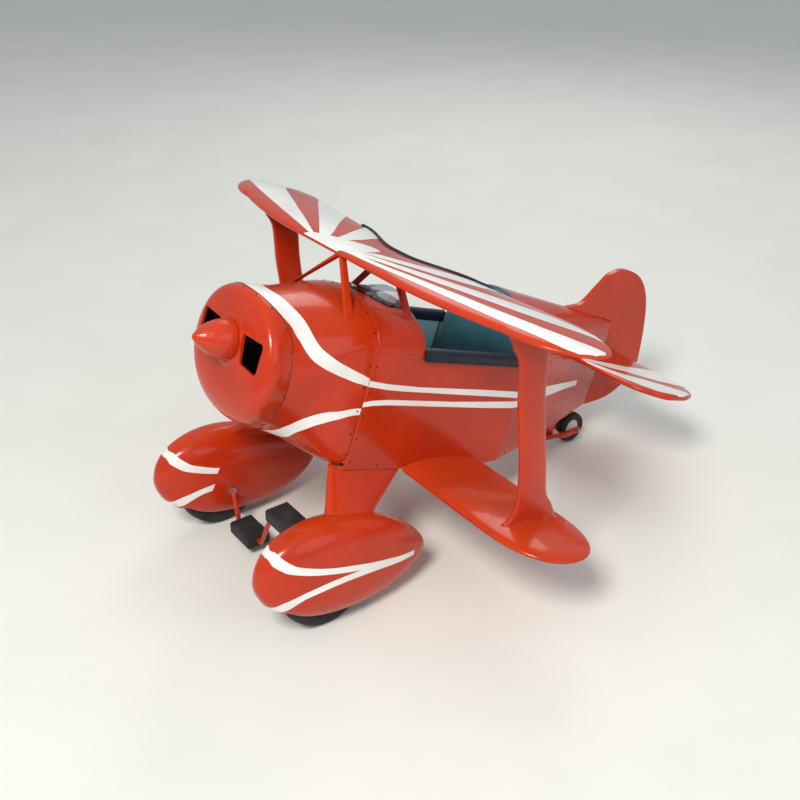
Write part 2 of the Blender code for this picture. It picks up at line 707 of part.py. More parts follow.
def make_cabane_struts():
    """Two inverted vees that carry the top wing over the forward deck."""
    feet = {"front": (0.108, 0.262), "rear": (0.106, 0.414)}
    heads = {"front": (0.0090, 0.7), "rear": (0.128, 1.0)}
    section = [(0.0105 * signed_power(math.cos(a), 0.8), 0.0048 * signed_power(math.sin(a), 0.8))
               for a in (2 * math.pi * k / 10 for k in range(10))]
    for place, (x, station) in feet.items():
        for side, name in ((1, "left"), (-1, "right")):
            head_y, taper = TOP_WING_ORIGIN.y + heads[place][0], heads[place][1]
            foot, head = [], []
            for along, across in section:
                px, ps = side * x + across, station + along
                foot.append(fuselage_point(px, ps, deck_height(ps, px) + 0.0010))
                head.append(on_top_wing(side * 0.0060 + across, head_y + along * taper, -1, 0.0020))
            add_object("cabane_%s_%s" % (place, name), loft([foot, head], strips=True), RED)


# ---------------------------------------------------------------- undercarriage and drive
def make_pants():
    """Wheel fairings: moulded shells, open below for the wheel and bored for the axle."""
    front = [-PANT_NOSE * math.cos(math.pi / 2 * k / 6) for k in range(6)]
    front[0] = -PANT_NOSE * 0.998
    stations = front + [0.0, 0.045, 0.09, 0.13, 0.17, 0.205, 0.23, PANT_TAIL * 0.998]
    inner = [s for s in stations if -0.15 < s < 0.22]
    for side, name in ((1, "left"), (-1, "right")):
        frame = empty("pant_frame_" + name, (side * WHEEL_X, PANT_ORIGIN.y, PANT_ORIGIN.z), WING_PITCH)
        pant = add_object("wheel_pant_" + name, loft([pant_ring(s) for s in stations]), RED, frame)
        cut(pant, "pant_hollow_" + name, loft([pant_ring(s, SKIN) for s in inner]), frame)
        cut(pant, "pant_mouth_" + name, block((-0.034, -0.105, -0.13), (0.034, 0.115, -0.02)), frame)
        start = Vector((side * 0.12, AXLE.y, AXLE.z))
        bore = cylinder(start, start + Vector((side * 0.06, 0, 0)), 0.0113, 16)
        cut(pant, "bush_bore_" + name, bore)


def make_legs():
    """Short flared legs from the fuselage's lower corners down to the pants."""
    count = 18
    for side, name in ((1, "left"), (-1, "right")):
        root, foot = [], []
        for i in range(count):
            turn = 2 * math.pi * i / count
            along, across = signed_power(math.cos(turn), 0.8), signed_power(math.sin(turn), 0.7)
            station = 0.3845 + 0.094 * along
            half = min(BODY_HALF_WIDTH, nose_section(min(station, BODY_SEAM))[0])
            x = half - 0.0175 + 0.015 * across
            height = nose_bottom(station, half - 0.040) - 0.0015
            root.append(fuselage_point(side * x, station, height))
            x, place = -0.020 + 0.014 * across, 0.050 + 0.058 * along
            height = pant_top(x, place) + 0.0045
            foot.append(pitched(PANT_ORIGIN, WING_PITCH, side * (WHEEL_X + x), place, height))
        add_object("gear_leg_" + name, loft([root, foot], strips=True), RED)


def make_main_wheels():
    half = TIRE_WIDTH / 2
    for side, name in ((1, "left"), (-1, "right")):
        centre = Vector((side * WHEEL_X, AXLE.y, AXLE.z))
        bead, crown = 0.066, WHEEL_RADIUS
        outer = [(half * 0.72, bead), (half, bead + 0.010), (half, crown - 0.012),
                 (half * 0.66, crown - 0.0025), (0, crown), (-half * 0.66, crown - 0.0025),
                 (-half, crown - 0.012), (-half, bead + 0.010), (-half * 0.72, bead)]
        add_object("main_tire_" + name, turned(outer, centre, 28), BLACK)
        bore = ROD_RADIUS + GAP
        profile = [(-0.020, bore), (-0.020, 0.014), (-0.006, 0.016), (-0.005, 0.054),
                   (-0.0155, 0.058), (-0.0155, bead - GAP), (0.0155, bead - GAP),
                   (0.0155, 0.058), (0.005, 0.054), (0.006, 0.016), (0.020, 0.014),
                   (0.020, bore)]
        add_object("main_rim_" + name, turned(profile, centre, 28), WHITE)
        profile = [(-0.009, bore), (-0.009, 0.0110), (0.006, 0.0110), (0.006, bore)]
        inner = centre + Vector((-side * 0.0545, 0, 0))
        add_object("axle_bush_" + name, turned(profile, inner, 16), STEEL)
        profile = [(-0.004, bore), (-0.004, 0.0105), (0.004, 0.0105), (0.004, bore)]
        outer = centre + Vector((side * 0.0255, 0, 0))
        add_object("axle_collar_" + name, turned(profile, outer, 12), STEEL)


def make_crank():
    """The axle: one bent rod whose two throws carry the pedals."""
    corners = [(-WHEEL_X - 0.034, 0), (-0.149, 0), (-PIN_OUTER, -CRANK_THROW),
               (-PIN_INNER, -CRANK_THROW), (PIN_INNER, CRANK_THROW), (PIN_OUTER, CRANK_THROW),
               (0.149, 0), (WHEEL_X + 0.034, 0)]
    path = filleted([(x, AXLE.y, AXLE.z + z) for x, z in corners], 0.007)
    add_object("crank_axle", rod(path, ROD_RADIUS, 10), RED)
    for side, name in ((1, "left"), (-1, "right")):
        middle = side * (PIN_INNER + PIN_OUTER) / 2
        height = AXLE.z + side * CRANK_THROW
        tread = [(-0.028, -0.011), (-0.024, -0.0145), (0.024, -0.0145), (0.028, -0.011),
                 (0.028, 0.011), (0.024, 0.0145), (-0.024, 0.0145), (-0.028, 0.011)]
        pedal = plate(tread, 0.080, lambda u, v, w: (middle + w, AXLE.y + u, height + v))
        pedal = add_object("pedal_" + name, pedal, BLACK, sharp=20.0)
        bore = cylinder((middle - 0.06, AXLE.y, height), (middle + 0.06, AXLE.y, height), 0.0062, 12)
        cut(pedal, "pedal_bore_" + name, bore)


# ---------------------------------------------------------------- steering and tail wheel
def make_steering(fuselage):
    corners = [(0, STICK_STATION, -0.045), (0, STICK_STATION, TUBE_HEIGHT),
               (0, ARM_STATION, TUBE_HEIGHT), (0, ARM_STATION, TUBE_HEIGHT - ARM_LENGTH)]
    add_object("control_stick", rod(filleted(corners, 0.018), TUBE_RADIUS, 10), STEEL, fuselage)
    grip = [(-0.137, TUBE_RADIUS + GAP), (-0.137, 0.013), (-0.120, 0.0150), (-0.075, 0.0135),
            (-0.052, 0.0155), (-0.046, 0.012), (-0.046, TUBE_RADIUS + GAP)]
    add_object("stick_grip", turned(grip, (0, STICK_STATION, 0), 12, "Z"), BLACK, fuselage)
    places = {"front": (0.530, BODY_BOTTOM + 0.018), "rear": (0.768, side_bottom(0.768) + SKIN + 0.0015)}
    for name, (station, foot) in places.items():
        low, high, half = foot + 0.0008, TUBE_HEIGHT + 0.014, 0.016
        outline = [(-half, low), (half, low), (half, high), (-half, high)]
        hole = circle((0, 0, TUBE_HEIGHT), TUBE_RADIUS + GAP, 16, "Y")
        walls = []
        for s in (station - 0.008, station + 0.008):
            walls.append([(x, s, z) for x, z in square_ring(outline, hole)])
            walls.append([(p.x, s, p.z) for p in hole])
        bearing = loft([walls[0], walls[2], walls[3], walls[1]], closed=True)
        add_object("tube_bearing_" + name, bearing, STEEL, fuselage)


def square_ring(outline, hole):
    """Points on a rectangle's edge in the directions of a circle's points."""
    xs = [x for x, _ in outline]
    zs = [z for _, z in outline]
    ring = []
    for point in hole:
        dx, dz = point.x, point.z - TUBE_HEIGHT
        reach = []
        if abs(dx) > 1e-9:
            reach.append(((max(xs) if dx > 0 else min(xs))) / dx)
        if abs(dz) > 1e-9:
            reach.append(((max(zs) if dz > 0 else min(zs)) - TUBE_HEIGHT) / dz)
        t = min(reach)
        ring.append((dx * t, TUBE_HEIGHT + dz * t))
    return ring


def make_tail_wheel():
    # bracket: hangs under the belly and holds the kingpin
    station = 1.0575
    top, low = [], []
    for i in range(16):
        turn = 2 * math.pi * i / 16
        u = 0.024 * signed_power(math.cos(turn), 0.8)
        x = 0.014 * signed_power(math.sin(turn), 0.8)
        s = station + u
        top.append(fuselage_point(x, s, side_bottom(s) - 0.0012))
        low.append(Vector((x * 0.85, KINGPIN_Y + u * 0.6, 0.058)))
    bracket = add_object("tail_bracket", loft([top, low]), RED)
    bore = cylinder((0, KINGPIN_Y, 0.03), (0, KINGPIN_Y, 0.100), 0.0063, 16)
    cut(bracket, "kingpin_bore_cutter", bore)
    # fork: a flat yoke in plan, horn ahead of the kingpin, arms either side of the wheel
    right = [(0.008, 0.262), (0.011, 0.300), (0.016, 0.330), (0.0300, 0.352), (0.0315, 0.400),
             (0.0270, 0.408), (0.0215, 0.400), (0.0205, 0.356), (0.010, 0.3475)]
    outline = right + [(-x, y) for x, y in reversed(right)]
    fork = add_object("tail_fork", plate(outline, 0.012, lambda u, v, w: (u, v, 0.040 + w)), RED)
    pin = [(0.042, 0.0085), (0.0500, 0.0085), (0.0500, 0.006), (0.098, 0.006)]
    weld(fork, "kingpin", loft([circle((0, KINGPIN_Y, z), r, 14, "Z") for z, r in pin]))
    cut(fork, "tail_axle_cutter",
        cylinder((-0.05, TAIL_AXLE.y, TAIL_AXLE.z), (0.05, TAIL_AXLE.y, TAIL_AXLE.z), 0.0034, 12))
    cut(fork, "horn_eye_cutter",
        cylinder((0, HORN_EYE_Y, 0.02), (0, HORN_EYE_Y, 0.06), 0.0036, 12))
    add_object("tail_axle", cylinder((-0.036, TAIL_AXLE.y, TAIL_AXLE.z),
                                     (0.036, TAIL_AXLE.y, TAIL_AXLE.z), 0.003, 10), STEEL)
    half = 0.0135
    outer = [(half * 0.7, 0.022), (half, 0.027), (half, 0.034), (half * 0.55, 0.0392),
             (0, TAIL_WHEEL_RADIUS), (-half * 0.55, 0.0392), (-half, 0.034), (-half, 0.027),
             (-half * 0.7, 0.022)]
    add_object("tail_tire", turned(outer, TAIL_AXLE, 24), BLACK)
    hub = [(-0.017, 0.0033), (-0.017, 0.008), (-0.009, 0.0095), (-0.009, 0.022 - GAP),
           (0.009, 0.022 - GAP), (0.009, 0.0095), (0.017, 0.008), (0.017, 0.0033)]
    add_object("tail_hub", turned(hub, TAIL_AXLE, 24), WHITE)


def make_drag_link():
    """Push-pull link from the steering arm's foot to the fork's horn, slotted at the arm."""
    eye = Vector((0, HORN_EYE_Y, 0.0500))
    arm = fuselage_point(0, ARM_STATION, TUBE_HEIGHT - 0.090)
    length = (arm - eye).length
    rise = math.atan2(arm.z - eye.z, eye.y - arm.y)
    width, slot_half, slot_length = 0.008, 0.0108, 0.019

    def place(u, v, w):
        """u across, v forward along the link from the horn's eye, w up from it."""
        return Vector((u, eye.y - v * math.cos(rise) + w * math.sin(rise),
                       eye.z + v * math.sin(rise) + w * math.cos(rise)))

    end = slot_half + 0.005
    head = [(end, length - slot_length), (end, length + slot_length - 0.006),
            (end - 0.006, length + slot_length + 0.005)]
    outline = [(width / 2, -0.006), (width / 2, length - slot_length - 0.012)] + head
    outline += [(-u, v) for u, v in reversed(outline)]
    link = add_object("drag_link", plate(outline, 0.003, place), STEEL)
    slot = [(-slot_half, length - slot_length + 0.005), (slot_half, length - slot_length + 0.005),
            (slot_half, length + slot_length - 0.003), (-slot_half, length + slot_length - 0.003)]
    cut(link, "link_slot_cutter", plate(slot, 0.05, place))
    weld(link, "link_pin", cylinder((0, HORN_EYE_Y, 0.030), (0, HORN_EYE_Y, 0.0515), 0.003, 10))


def main():
    clear_scene()
    fuselage = empty("fuselage_frame", FUSELAGE_ORIGIN, FUSELAGE_PITCH)
    make_cowl(fuselage)
    make_spinner(fuselage)
    make_nose(fuselage)
    make_sides(fuselage)
    make_decks(fuselage)
    make_formers(fuselage)
    make_seat(fuselage)
    make_rails(fuselage)
    make_windscreen(fuselage)
    make_tail(fuselage)
    make_wings()
    make_interplane_struts()
    make_cabane_struts()
    make_pants()
    make_legs()
    make_main_wheels()
    make_crank()
    make_steering(fuselage)
    make_tail_wheel()
    make_drag_link()
    for item in bpy.data.objects:
        if item.parent is None:
            item.location.y += FRAME_SHIFT
    bpy.context.view_layer.update()


main()
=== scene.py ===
"""Looks of the pedal biplane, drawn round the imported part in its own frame.

Metres, +Z up, ground at z = 0, nose towards -Y.  Fuselage pieces are worked out in the fuselage's
frame (x, station, height), wings and wheel fairings in frames of their own, and placed from there.
"""
import math

import bmesh
import bpy
from mathutils import Matrix, Vector, noise


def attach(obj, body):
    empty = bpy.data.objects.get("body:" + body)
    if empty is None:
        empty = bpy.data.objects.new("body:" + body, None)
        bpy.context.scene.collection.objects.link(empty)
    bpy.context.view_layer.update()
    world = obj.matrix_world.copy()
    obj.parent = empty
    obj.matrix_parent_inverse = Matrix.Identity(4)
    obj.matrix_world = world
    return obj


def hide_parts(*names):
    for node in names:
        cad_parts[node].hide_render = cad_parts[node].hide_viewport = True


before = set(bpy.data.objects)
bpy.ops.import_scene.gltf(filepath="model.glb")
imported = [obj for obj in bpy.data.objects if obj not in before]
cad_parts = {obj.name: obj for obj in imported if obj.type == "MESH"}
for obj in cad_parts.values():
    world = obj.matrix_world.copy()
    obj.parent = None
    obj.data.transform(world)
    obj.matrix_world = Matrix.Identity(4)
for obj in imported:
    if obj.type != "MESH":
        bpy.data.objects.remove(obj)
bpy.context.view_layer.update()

# ---------------------------------------------------------------- dimensions, as in the part
SHIFT = Vector((0.0, 0.0101, 0.0))
FUSELAGE_PITCH = math.radians(19.3)
WING_PITCH = math.radians(12.3)
FUSELAGE_ORIGIN = Vector((0.0, -0.616, 0.628)) + SHIFT
TOP_WING_ORIGIN = Vector((0.0, -0.307, 0.6751)) + SHIFT
LOWER_WING_ORIGIN = Vector((0.0, -0.2565, 0.2295)) + SHIFT
WHEEL_X = 0.218
PANT_ORIGIN = Vector((0.0, -0.4907, 0.1336)) + SHIFT
AXLE = Vector((0.0, -0.500, 0.100)) + SHIFT
TAIL_AXLE = Vector((0.0, 0.395, 0.040)) + SHIFT

SPINNER_LENGTH = 0.0763
SPINNER_RADIUS = 0.0395
SPINNER_HEIGHT = -0.0447
BOWL_FRONT = 0.080
COWL_SEAM = 0.1417
BOWL_REAR = COWL_SEAM - 0.0005
BOWL_ROUND = 0.21                  # power of the bowl's curve from its face to its rear edge
BOWL_FACE = 8                      # power that keeps the bowl's face flat
BOWL_SWELL = 0.115
BODY_SEAM = 0.3175
COCKPIT_FRONT = 0.4395
COCKPIT_REAR = 0.745
TAIL_POST = 1.160
STABILIZER_HEIGHT = -0.0083
BODY_HALF_WIDTH = 0.150
DECK_RISE_FRONT = 0.082
DECK_RISE_REAR = 0.075
BODY_BOTTOM = -0.2543
SCREEN_FRONT = 0.335
SCREEN_HALF_WIDTH = 0.070
PANEL = 0.006
SKIN = 0.005
GAP = 0.0003
TOP_HALF_SPAN = 0.586
TOP_TIP_START = 0.44
CUTOUT_HALF_WIDTH = 0.19
CUTOUT_DEPTH = 0.046
LOWER_HALF_SPAN = 0.570
LOWER_TIP_START = 0.42
WING_THICKNESS = 0.13
STRUT_X = 0.431
WHEEL_RADIUS = 0.100
TIRE_WIDTH = 0.045
ROD_RADIUS = 0.0055
CRANK_THROW = 0.065
PIN_INNER = 0.035
PIN_OUTER = 0.135
CRANK_BEND = 0.149                 # where the crank's arm leaves the axle's line
AXLE_END = 0.034                   # how far the axle stands out past each wheel's middle
PANT_HALF_WIDTH = 0.056
PANT_NOSE = 0.165
PANT_TAIL = 0.245
PANT_TOP = 0.106
PANT_BOTTOM = 0.107
PANT_POWER = 2.7
TAIL_WHEEL_RADIUS = 0.040
STICK_STATION = 0.500
SHAFT_HOLE = 0.0088                # radius of the bowl's hole for the spinner's shaft
BOSS_RIM = 0.011                   # how far the bowl's boss stands out round the spinner
STRUT_HALF_WIDTH = 0.008
CABANE_HALF_DEPTH = 0.0102
CABANE_HALF_WIDTH = 0.0064
SCREEN_THICKNESS = 0.0020
SEAT_HALF_WIDTH = 0.1385
SEAT_TOP = 0.1165
SEAT_LOW = -0.1475
CUSHION_FRONT = 0.5715
CUSHION_REAR = 0.7205
CUSHION_HALF_WIDTH = 0.1315
WELT_RADIUS = 0.0021
RAIL_HALF_WIDTH = 0.0108
FIN_THICKNESS = 0.015
TAILPLANE_HALF_THICKNESS = 0.0075
TAILPLANE_HALF_SPAN = 0.3190
EDGING_RADIUS = 0.0040
BEAD_RADIUS = 0.066                # where the main tyre meets its rim
TREAD_BLOCKS = 54
PEDAL_HALF_LENGTH = 0.0400
PEDAL_HALF_DEPTH = 0.0280
PEDAL_HALF_HEIGHT = 0.0145
PEDAL_RIBS = 7
SEAM_SCREW = 0.0022
PANEL_SCREW = 0.0021
DECAL_LIFT = 0.00035
SIDES = ((1, "left"), (-1, "right"))
# the joint line round the bowl: degrees up from the side, and station
COWL_LINE = [(0, 0.1421), (6, 0.1412), (14, 0.1407), (26, 0.1396), (37, 0.1366), (44, 0.1308), (51, 0.122),
             (57, 0.1149), (63, 0.1086), (70, 0.1037), (78, 0.1002), (84, 0.0984), (90, 0.0978)]


# ---------------------------------------------------------------- shape rules
def lerp(a, b, t):
    return a + (b - a) * t


def smooth(t):
    t = min(max(t, 0.0), 1.0)
    return t * t * (3 - 2 * t)


def signed_power(value, power):
    return math.copysign(abs(value) ** power, value)


def pitched(origin, pitch, x, along, up):
    c, s = math.cos(pitch), math.sin(pitch)
    return Vector((x, origin.y + along * c + up * s, origin.z - along * s + up * c))


def body_at(x, station, height):
    return pitched(FUSELAGE_ORIGIN, FUSELAGE_PITCH, x, station, height)


def pant_frame(side, x, along, height):
    return pitched(PANT_ORIGIN, WING_PITCH, side * WHEEL_X + x, along, height)


def side_half_width(station):
    t = max(0.0, (station - COCKPIT_REAR) / (TAIL_POST - COCKPIT_REAR))
    return lerp(BODY_HALF_WIDTH, 0.014, t)


def side_bottom(station):
    t = max(0.0, (station - 0.62) / (TAIL_POST - 0.62))
    return lerp(BODY_BOTTOM, -0.150, t ** 1.35)


def deck_rise(station):
    along = (station - BODY_SEAM) / (COCKPIT_FRONT - BODY_SEAM)
    return lerp(DECK_RISE_FRONT, DECK_RISE_REAR, along)


def ridge(station):
    return lerp(0.1207, 0.074, (station - COCKPIT_REAR) / (TAIL_POST - COCKPIT_REAR))


def nose_section(station):
    t = smooth((station - COWL_SEAM) / (BODY_SEAM - COWL_SEAM))
    return (lerp(0.1363, BODY_HALF_WIDTH, t), lerp(-0.0761, 0.0, t), lerp(0.1385, DECK_RISE_FRONT, t),
            lerp(0.1385, -BODY_BOTTOM, t), 1 / lerp(0.465, 0.5, t), 1 / lerp(0.465, 0.085, t))


def polar(half, height, power, turn, inset=0.0):
    """A superellipse's point in the direction of a turn about its centre."""
    c, s = abs(math.cos(turn)) / (half - inset), abs(math.sin(turn)) / (height - inset)
    reach = (c ** power + s ** power) ** (-1 / power)
    return reach * math.cos(turn), reach * math.sin(turn)


def nose_at(station, turn, inset=0.0):
    """The nose's surface at a station, in the direction of a turn about the section's centre."""
    half, centre, rise, drop, top, low = nose_section(station)
    up = math.sin(turn) >= 0
    x, z = polar(half, rise if up else drop, top if up else low, turn, inset)
    return Vector((x, station, centre + z))


def nose_turn(x, station, height):
    return math.atan2(height - nose_section(station)[1], x)


def deck_height(station, x):
    if station >= BODY_SEAM:
        return deck_rise(station) * math.sqrt(max(0.0, 1 - (x / BODY_HALF_WIDTH) ** 2))
    half, centre, rise, _, power, _ = nose_section(station)
    return centre + rise * max(0.0, 1 - abs(x / half) ** power) ** (1 / power)


def nose_bottom(station, x):
    if station >= BODY_SEAM:
        return BODY_BOTTOM
    half, centre, _, drop, _, power = nose_section(station)
    return centre - drop * max(0.0, 1 - abs(x / half) ** power) ** (1 / power)


def bowl_at(scale, turn, inset=0.0):
    """The nose bowl: swollen behind its rounded edge and flat across the face."""
    reach = max(0.0, 1 - scale ** BOWL_FACE) ** BOWL_ROUND
    half, centre = nose_section(COWL_SEAM)[:2]
    lift = (1 - scale) * (SPINNER_HEIGHT - centre)
    shrink = 1 - inset / (half * scale)
    station = BOWL_REAR - (BOWL_REAR - BOWL_FRONT - inset) * reach
    rim = nose_at(COWL_SEAM, turn)
    height = (rim.z - centre) * scale
    height *= 1 - 0.16 * reach if height < 0 else 1.0
    wide = rim.x * scale * (1 + BOWL_SWELL * reach) * shrink
    return Vector((wide, station, centre + lift + height * shrink))


def front_at(station, turn, inset=0.0):
    """The skin at a station of the nose, on the bowl when ahead of its rear edge."""
    if station >= BOWL_REAR:
        return nose_at(max(station, COWL_SEAM), turn, inset)
    reach = min((BOWL_REAR - station) / (BOWL_REAR - BOWL_FRONT), 0.9999)
    return bowl_at((1 - reach ** (1 / BOWL_ROUND)) ** (1 / BOWL_FACE), turn, inset)


def cowl_line(turn):
    """Station of the joint line round the nose: it sweeps forward over the top."""
    degrees = math.degrees(turn) % 360
    if degrees > 180:
        return COWL_SEAM + 0.0004
    return shape_at(COWL_LINE, min(degrees, 180 - degrees))


def arch_point(station, half, rise, turn, inset=0.0):
    return Vector(((half - inset) * math.cos(turn), station, GAP + (rise - inset) * math.sin(turn)))


def aerofoil(u):
    return 5 * (0.2969 * math.sqrt(u) - 0.126 * u - 0.3516 * u ** 2 + 0.2843 * u ** 3
                - 0.1015 * u ** 4)


def wing_surface(chord, u, side):
    camber = 0.02 * chord * 4 * u * (1 - u)
    lower = 0.62 if side < 0 else 1.0
    return camber + side * lower * WING_THICKNESS * chord * aerofoil(u) + side * 0.0008


def tip_edges(x, start, end, lead, trail, power=2.2, rake=0.0):
    if x <= start:
        return lead, trail
    t = min((x - start) / (end - start), 1.0)
    half = (trail - lead) / 2 * max(1 - t ** power, 0.004) ** (1 / power)
    middle = (lead + trail) / 2 + rake * t * t
    return middle - half, middle + half


def top_wing_edges(x):
    x = abs(x)
    inner = min(x, TOP_TIP_START)
    lead = 0.53 * max(0.0, inner - 0.15) ** 2
    trail = 0.198 + 0.125 * max(0.0, inner - CUTOUT_HALF_WIDTH)
    trail -= CUTOUT_DEPTH * (1 - smooth((x - 0.02) / (CUTOUT_HALF_WIDTH - 0.02)))
    return tip_edges(x, TOP_TIP_START, TOP_HALF_SPAN, lead, trail, 1.9, 0.010)


def lower_wing_edges(x):
    return tip_edges(abs(x), LOWER_TIP_START, LOWER_HALF_SPAN, 0.0, 0.206)


def wing_point(origin, edges, x, along, side, clearance):
    lead, trail = edges(x)
    chord = trail - lead
    u = min(max((along - lead) / chord, 0.0), 1.0)
    return pitched(origin, WING_PITCH, x, along, wing_surface(chord, u, side) + side * clearance)


def pant_size(along):
    if along < 0:
        size = math.sqrt(max(0.0, 1 - (along / PANT_NOSE) ** 2))
        return size, PANT_HALF_WIDTH * size
    size = max(0.0, 1 - (along / PANT_TAIL) ** 2) ** 0.65
    return size, PANT_HALF_WIDTH * (0.10 + 0.90 * size)


def pant_at(along, turn, inset=0.0):
    size, width = pant_size(along)
    height = (PANT_TOP if math.sin(turn) >= 0 else PANT_BOTTOM) * size
    x, z = polar(width, height, PANT_POWER, turn, inset)
    return Vector((x, along, z))


def pant_top(x, along):
    size, width = pant_size(along)
    rise = max(0.0, 1 - abs(x / width) ** PANT_POWER) ** (1 / PANT_POWER)
    return PANT_TOP * size * rise


def screen_station(x):
    return SCREEN_FRONT + 0.045 * (x / SCREEN_HALF_WIDTH) ** 2


def screen_height(station, x):
    back = (station - screen_station(x)) / (COCKPIT_FRONT - SCREEN_FRONT)
    lift = 0.014 * smooth(max(back - 0.10, 0.0)) * (1 - 0.9 * (x / SCREEN_HALF_WIDTH) ** 4)
    return deck_height(station, x) + 0.0012 + lift


def smooth_curve(points, steps):
    """A Catmull-Rom curve through the points."""
    padded = [points[0]] + list(points) + [points[-1]]
    curve = []
    for a, b, c, d in zip(padded, padded[1:], padded[2:], padded[3:]):
        for k in range(steps):
            t = k / steps
            curve.append(tuple(0.5 * (2 * q + (r - p) * t + (2 * p - 5 * q + 4 * r - s) * t ** 2
                                      + (3 * q - p - 3 * r + s) * t ** 3)
                               for p, q, r, s in zip(a, b, c, d)))
    curve.append(tuple(points[-1]))
    return curve


# ---------------------------------------------------------------- materials
class Finish:
    """A node material being put together; its textures read the part's own rest coordinates."""

    def __init__(self, name, roughness=0.5, metallic=0.0, **sockets):
        self.material = bpy.data.materials.new(name)
        self.material.use_nodes = True
        self.tree = self.material.node_tree
        self.shader = self.tree.nodes["Principled BSDF"]
        self.shader.inputs["Roughness"].default_value = roughness
        self.shader.inputs["Metallic"].default_value = metallic
        for key, value in sockets.items():
            self.shader.inputs[key.replace("_", " ")].default_value = value
        self.place = self.tree.nodes.new("ShaderNodeTexCoord").outputs["Object"]
        self.normal = None

    def link(self, a, b):
        self.tree.links.new(a, b)

    def stretched(self, scale, turn=(0, 0, 0)):
        node = self.tree.nodes.new("ShaderNodeMapping")
        node.inputs["Scale"].default_value = scale
        node.inputs["Rotation"].default_value = turn
        self.link(self.place, node.inputs["Vector"])
        return node.outputs["Vector"]

    def noise(self, scale, detail=3.0, rough=0.55, place=None):
        node = self.tree.nodes.new("ShaderNodeTexNoise")
        node.inputs["Scale"].default_value = scale
        node.inputs["Detail"].default_value = detail
        node.inputs["Roughness"].default_value = rough
        self.link(place or self.place, node.inputs["Vector"])
        return node.outputs["Fac"]

    def cells(self, scale, feature="F1", place=None):
        node = self.tree.nodes.new("ShaderNodeTexVoronoi")
        node.feature = feature
        node.inputs["Scale"].default_value = scale
        self.link(place or self.place, node.inputs["Vector"])
        return node.outputs["Distance"]

    def bands(self, scale, axis, place=None, distortion=0.0):
        node = self.tree.nodes.new("ShaderNodeTexWave")
        node.bands_direction = axis
        node.inputs["Scale"].default_value = scale
        node.inputs["Distortion"].default_value = distortion
        self.link(place or self.place, node.inputs["Vector"])
        return node.outputs["Fac"]

    def edges(self):
        return self.tree.nodes.new("ShaderNodeNewGeometry").outputs["Pointiness"]

    def facing_up(self):
        split = self.tree.nodes.new("ShaderNodeSeparateXYZ")
        geometry = self.tree.nodes.new("ShaderNodeNewGeometry")
        self.link(geometry.outputs["Normal"], split.inputs["Vector"])
        return split.outputs["Z"]

    def span(self, value, low, high, to_low=0.0, to_high=1.0):
        node = self.tree.nodes.new("ShaderNodeMapRange")
        for key, number in (("From Min", low), ("From Max", high), ("To Min", to_low),
                            ("To Max", to_high)):
            node.inputs[key].default_value = number
        self.link(value, node.inputs["Value"])
        return node.outputs["Result"]

    def combine(self, a, b, operation="MULTIPLY"):
        node = self.tree.nodes.new("ShaderNodeMath")
        node.operation = operation
        self.link(a, node.inputs[0])
        self.link(b, node.inputs[1])
        return node.outputs["Value"]

    def mix(self, factor, a, b):
        node = self.tree.nodes.new("ShaderNodeMix")
        node.data_type = "RGBA"
        self.link(factor, node.inputs[0])
        for value, socket in ((a, node.inputs[6]), (b, node.inputs[7])):
            if isinstance(value, tuple):
                socket.default_value = (*value, 1.0)
            else:
                self.link(value, socket)
        return node.outputs[2]

    def bump(self, height, strength, distance):
        node = self.tree.nodes.new("ShaderNodeBump")
        node.inputs["Strength"].default_value = strength
        node.inputs["Distance"].default_value = distance
        self.link(height, node.inputs["Height"])
        if self.normal:
            self.link(self.normal, node.inputs["Normal"])
        self.normal = node.outputs["Normal"]

    def done(self, colour, roughness=None):
        self.link(colour, self.shader.inputs["Base Color"])
        if roughness:
            self.link(roughness, self.shader.inputs["Roughness"])
        if self.normal:
            self.link(self.normal, self.shader.inputs["Normal"])
        return self.material


def paint(name, colour, fade_and_sunlit_tone, worn, peel=0.035, hammered=False):
    """Gloss paint: slow changes of tone, faded patches, painted sunlight that makes upward faces lighter and
    more orange, orange peel, chips and rubbed edges.
    """
    f = Finish(name, Coat_Weight=0.34, Coat_Roughness=0.06, Specular_IOR_Level=0.22)
    tone = f.mix(f.span(f.noise(7.0, 4.0), 0.35, 0.68), colour, tuple(c * 0.82 for c in colour))
    # painted sunlight: faces turned up are mixed towards the lighter, more orange tone
    tone = f.mix(f.span(f.facing_up(), 0.55, 1.0, 0.0, 0.30), tone, fade_and_sunlit_tone)
    # random faded patches in the same tone
    tone = f.mix(f.span(f.noise(85.0, 5.0), 0.55, 0.80, 0.0, 0.16), tone, fade_and_sunlit_tone)
    chips = f.combine(f.span(f.noise(260.0, 2.0), 0.735, 0.755), f.span(f.noise(9.0), 0.5, 0.62))
    tone = f.mix(chips, tone, worn)
    rubbed = f.combine(f.span(f.edges(), 0.555, 0.63, 0.0, 0.5), f.span(f.noise(45.0), 0.42, 0.62))
    tone = f.mix(rubbed, tone, worn)
    f.bump(f.noise(14.0, 2.0), 0.05, 0.01)
    if hammered:
        f.bump(f.cells(330.0, "SMOOTH_F1"), 0.40, 0.0016)
    f.bump(f.noise(420.0, 2.0), peel, 0.001)
    return f.done(tone, f.span(f.noise(38.0, 4.0), 0.3, 0.75, 0.20, 0.36))


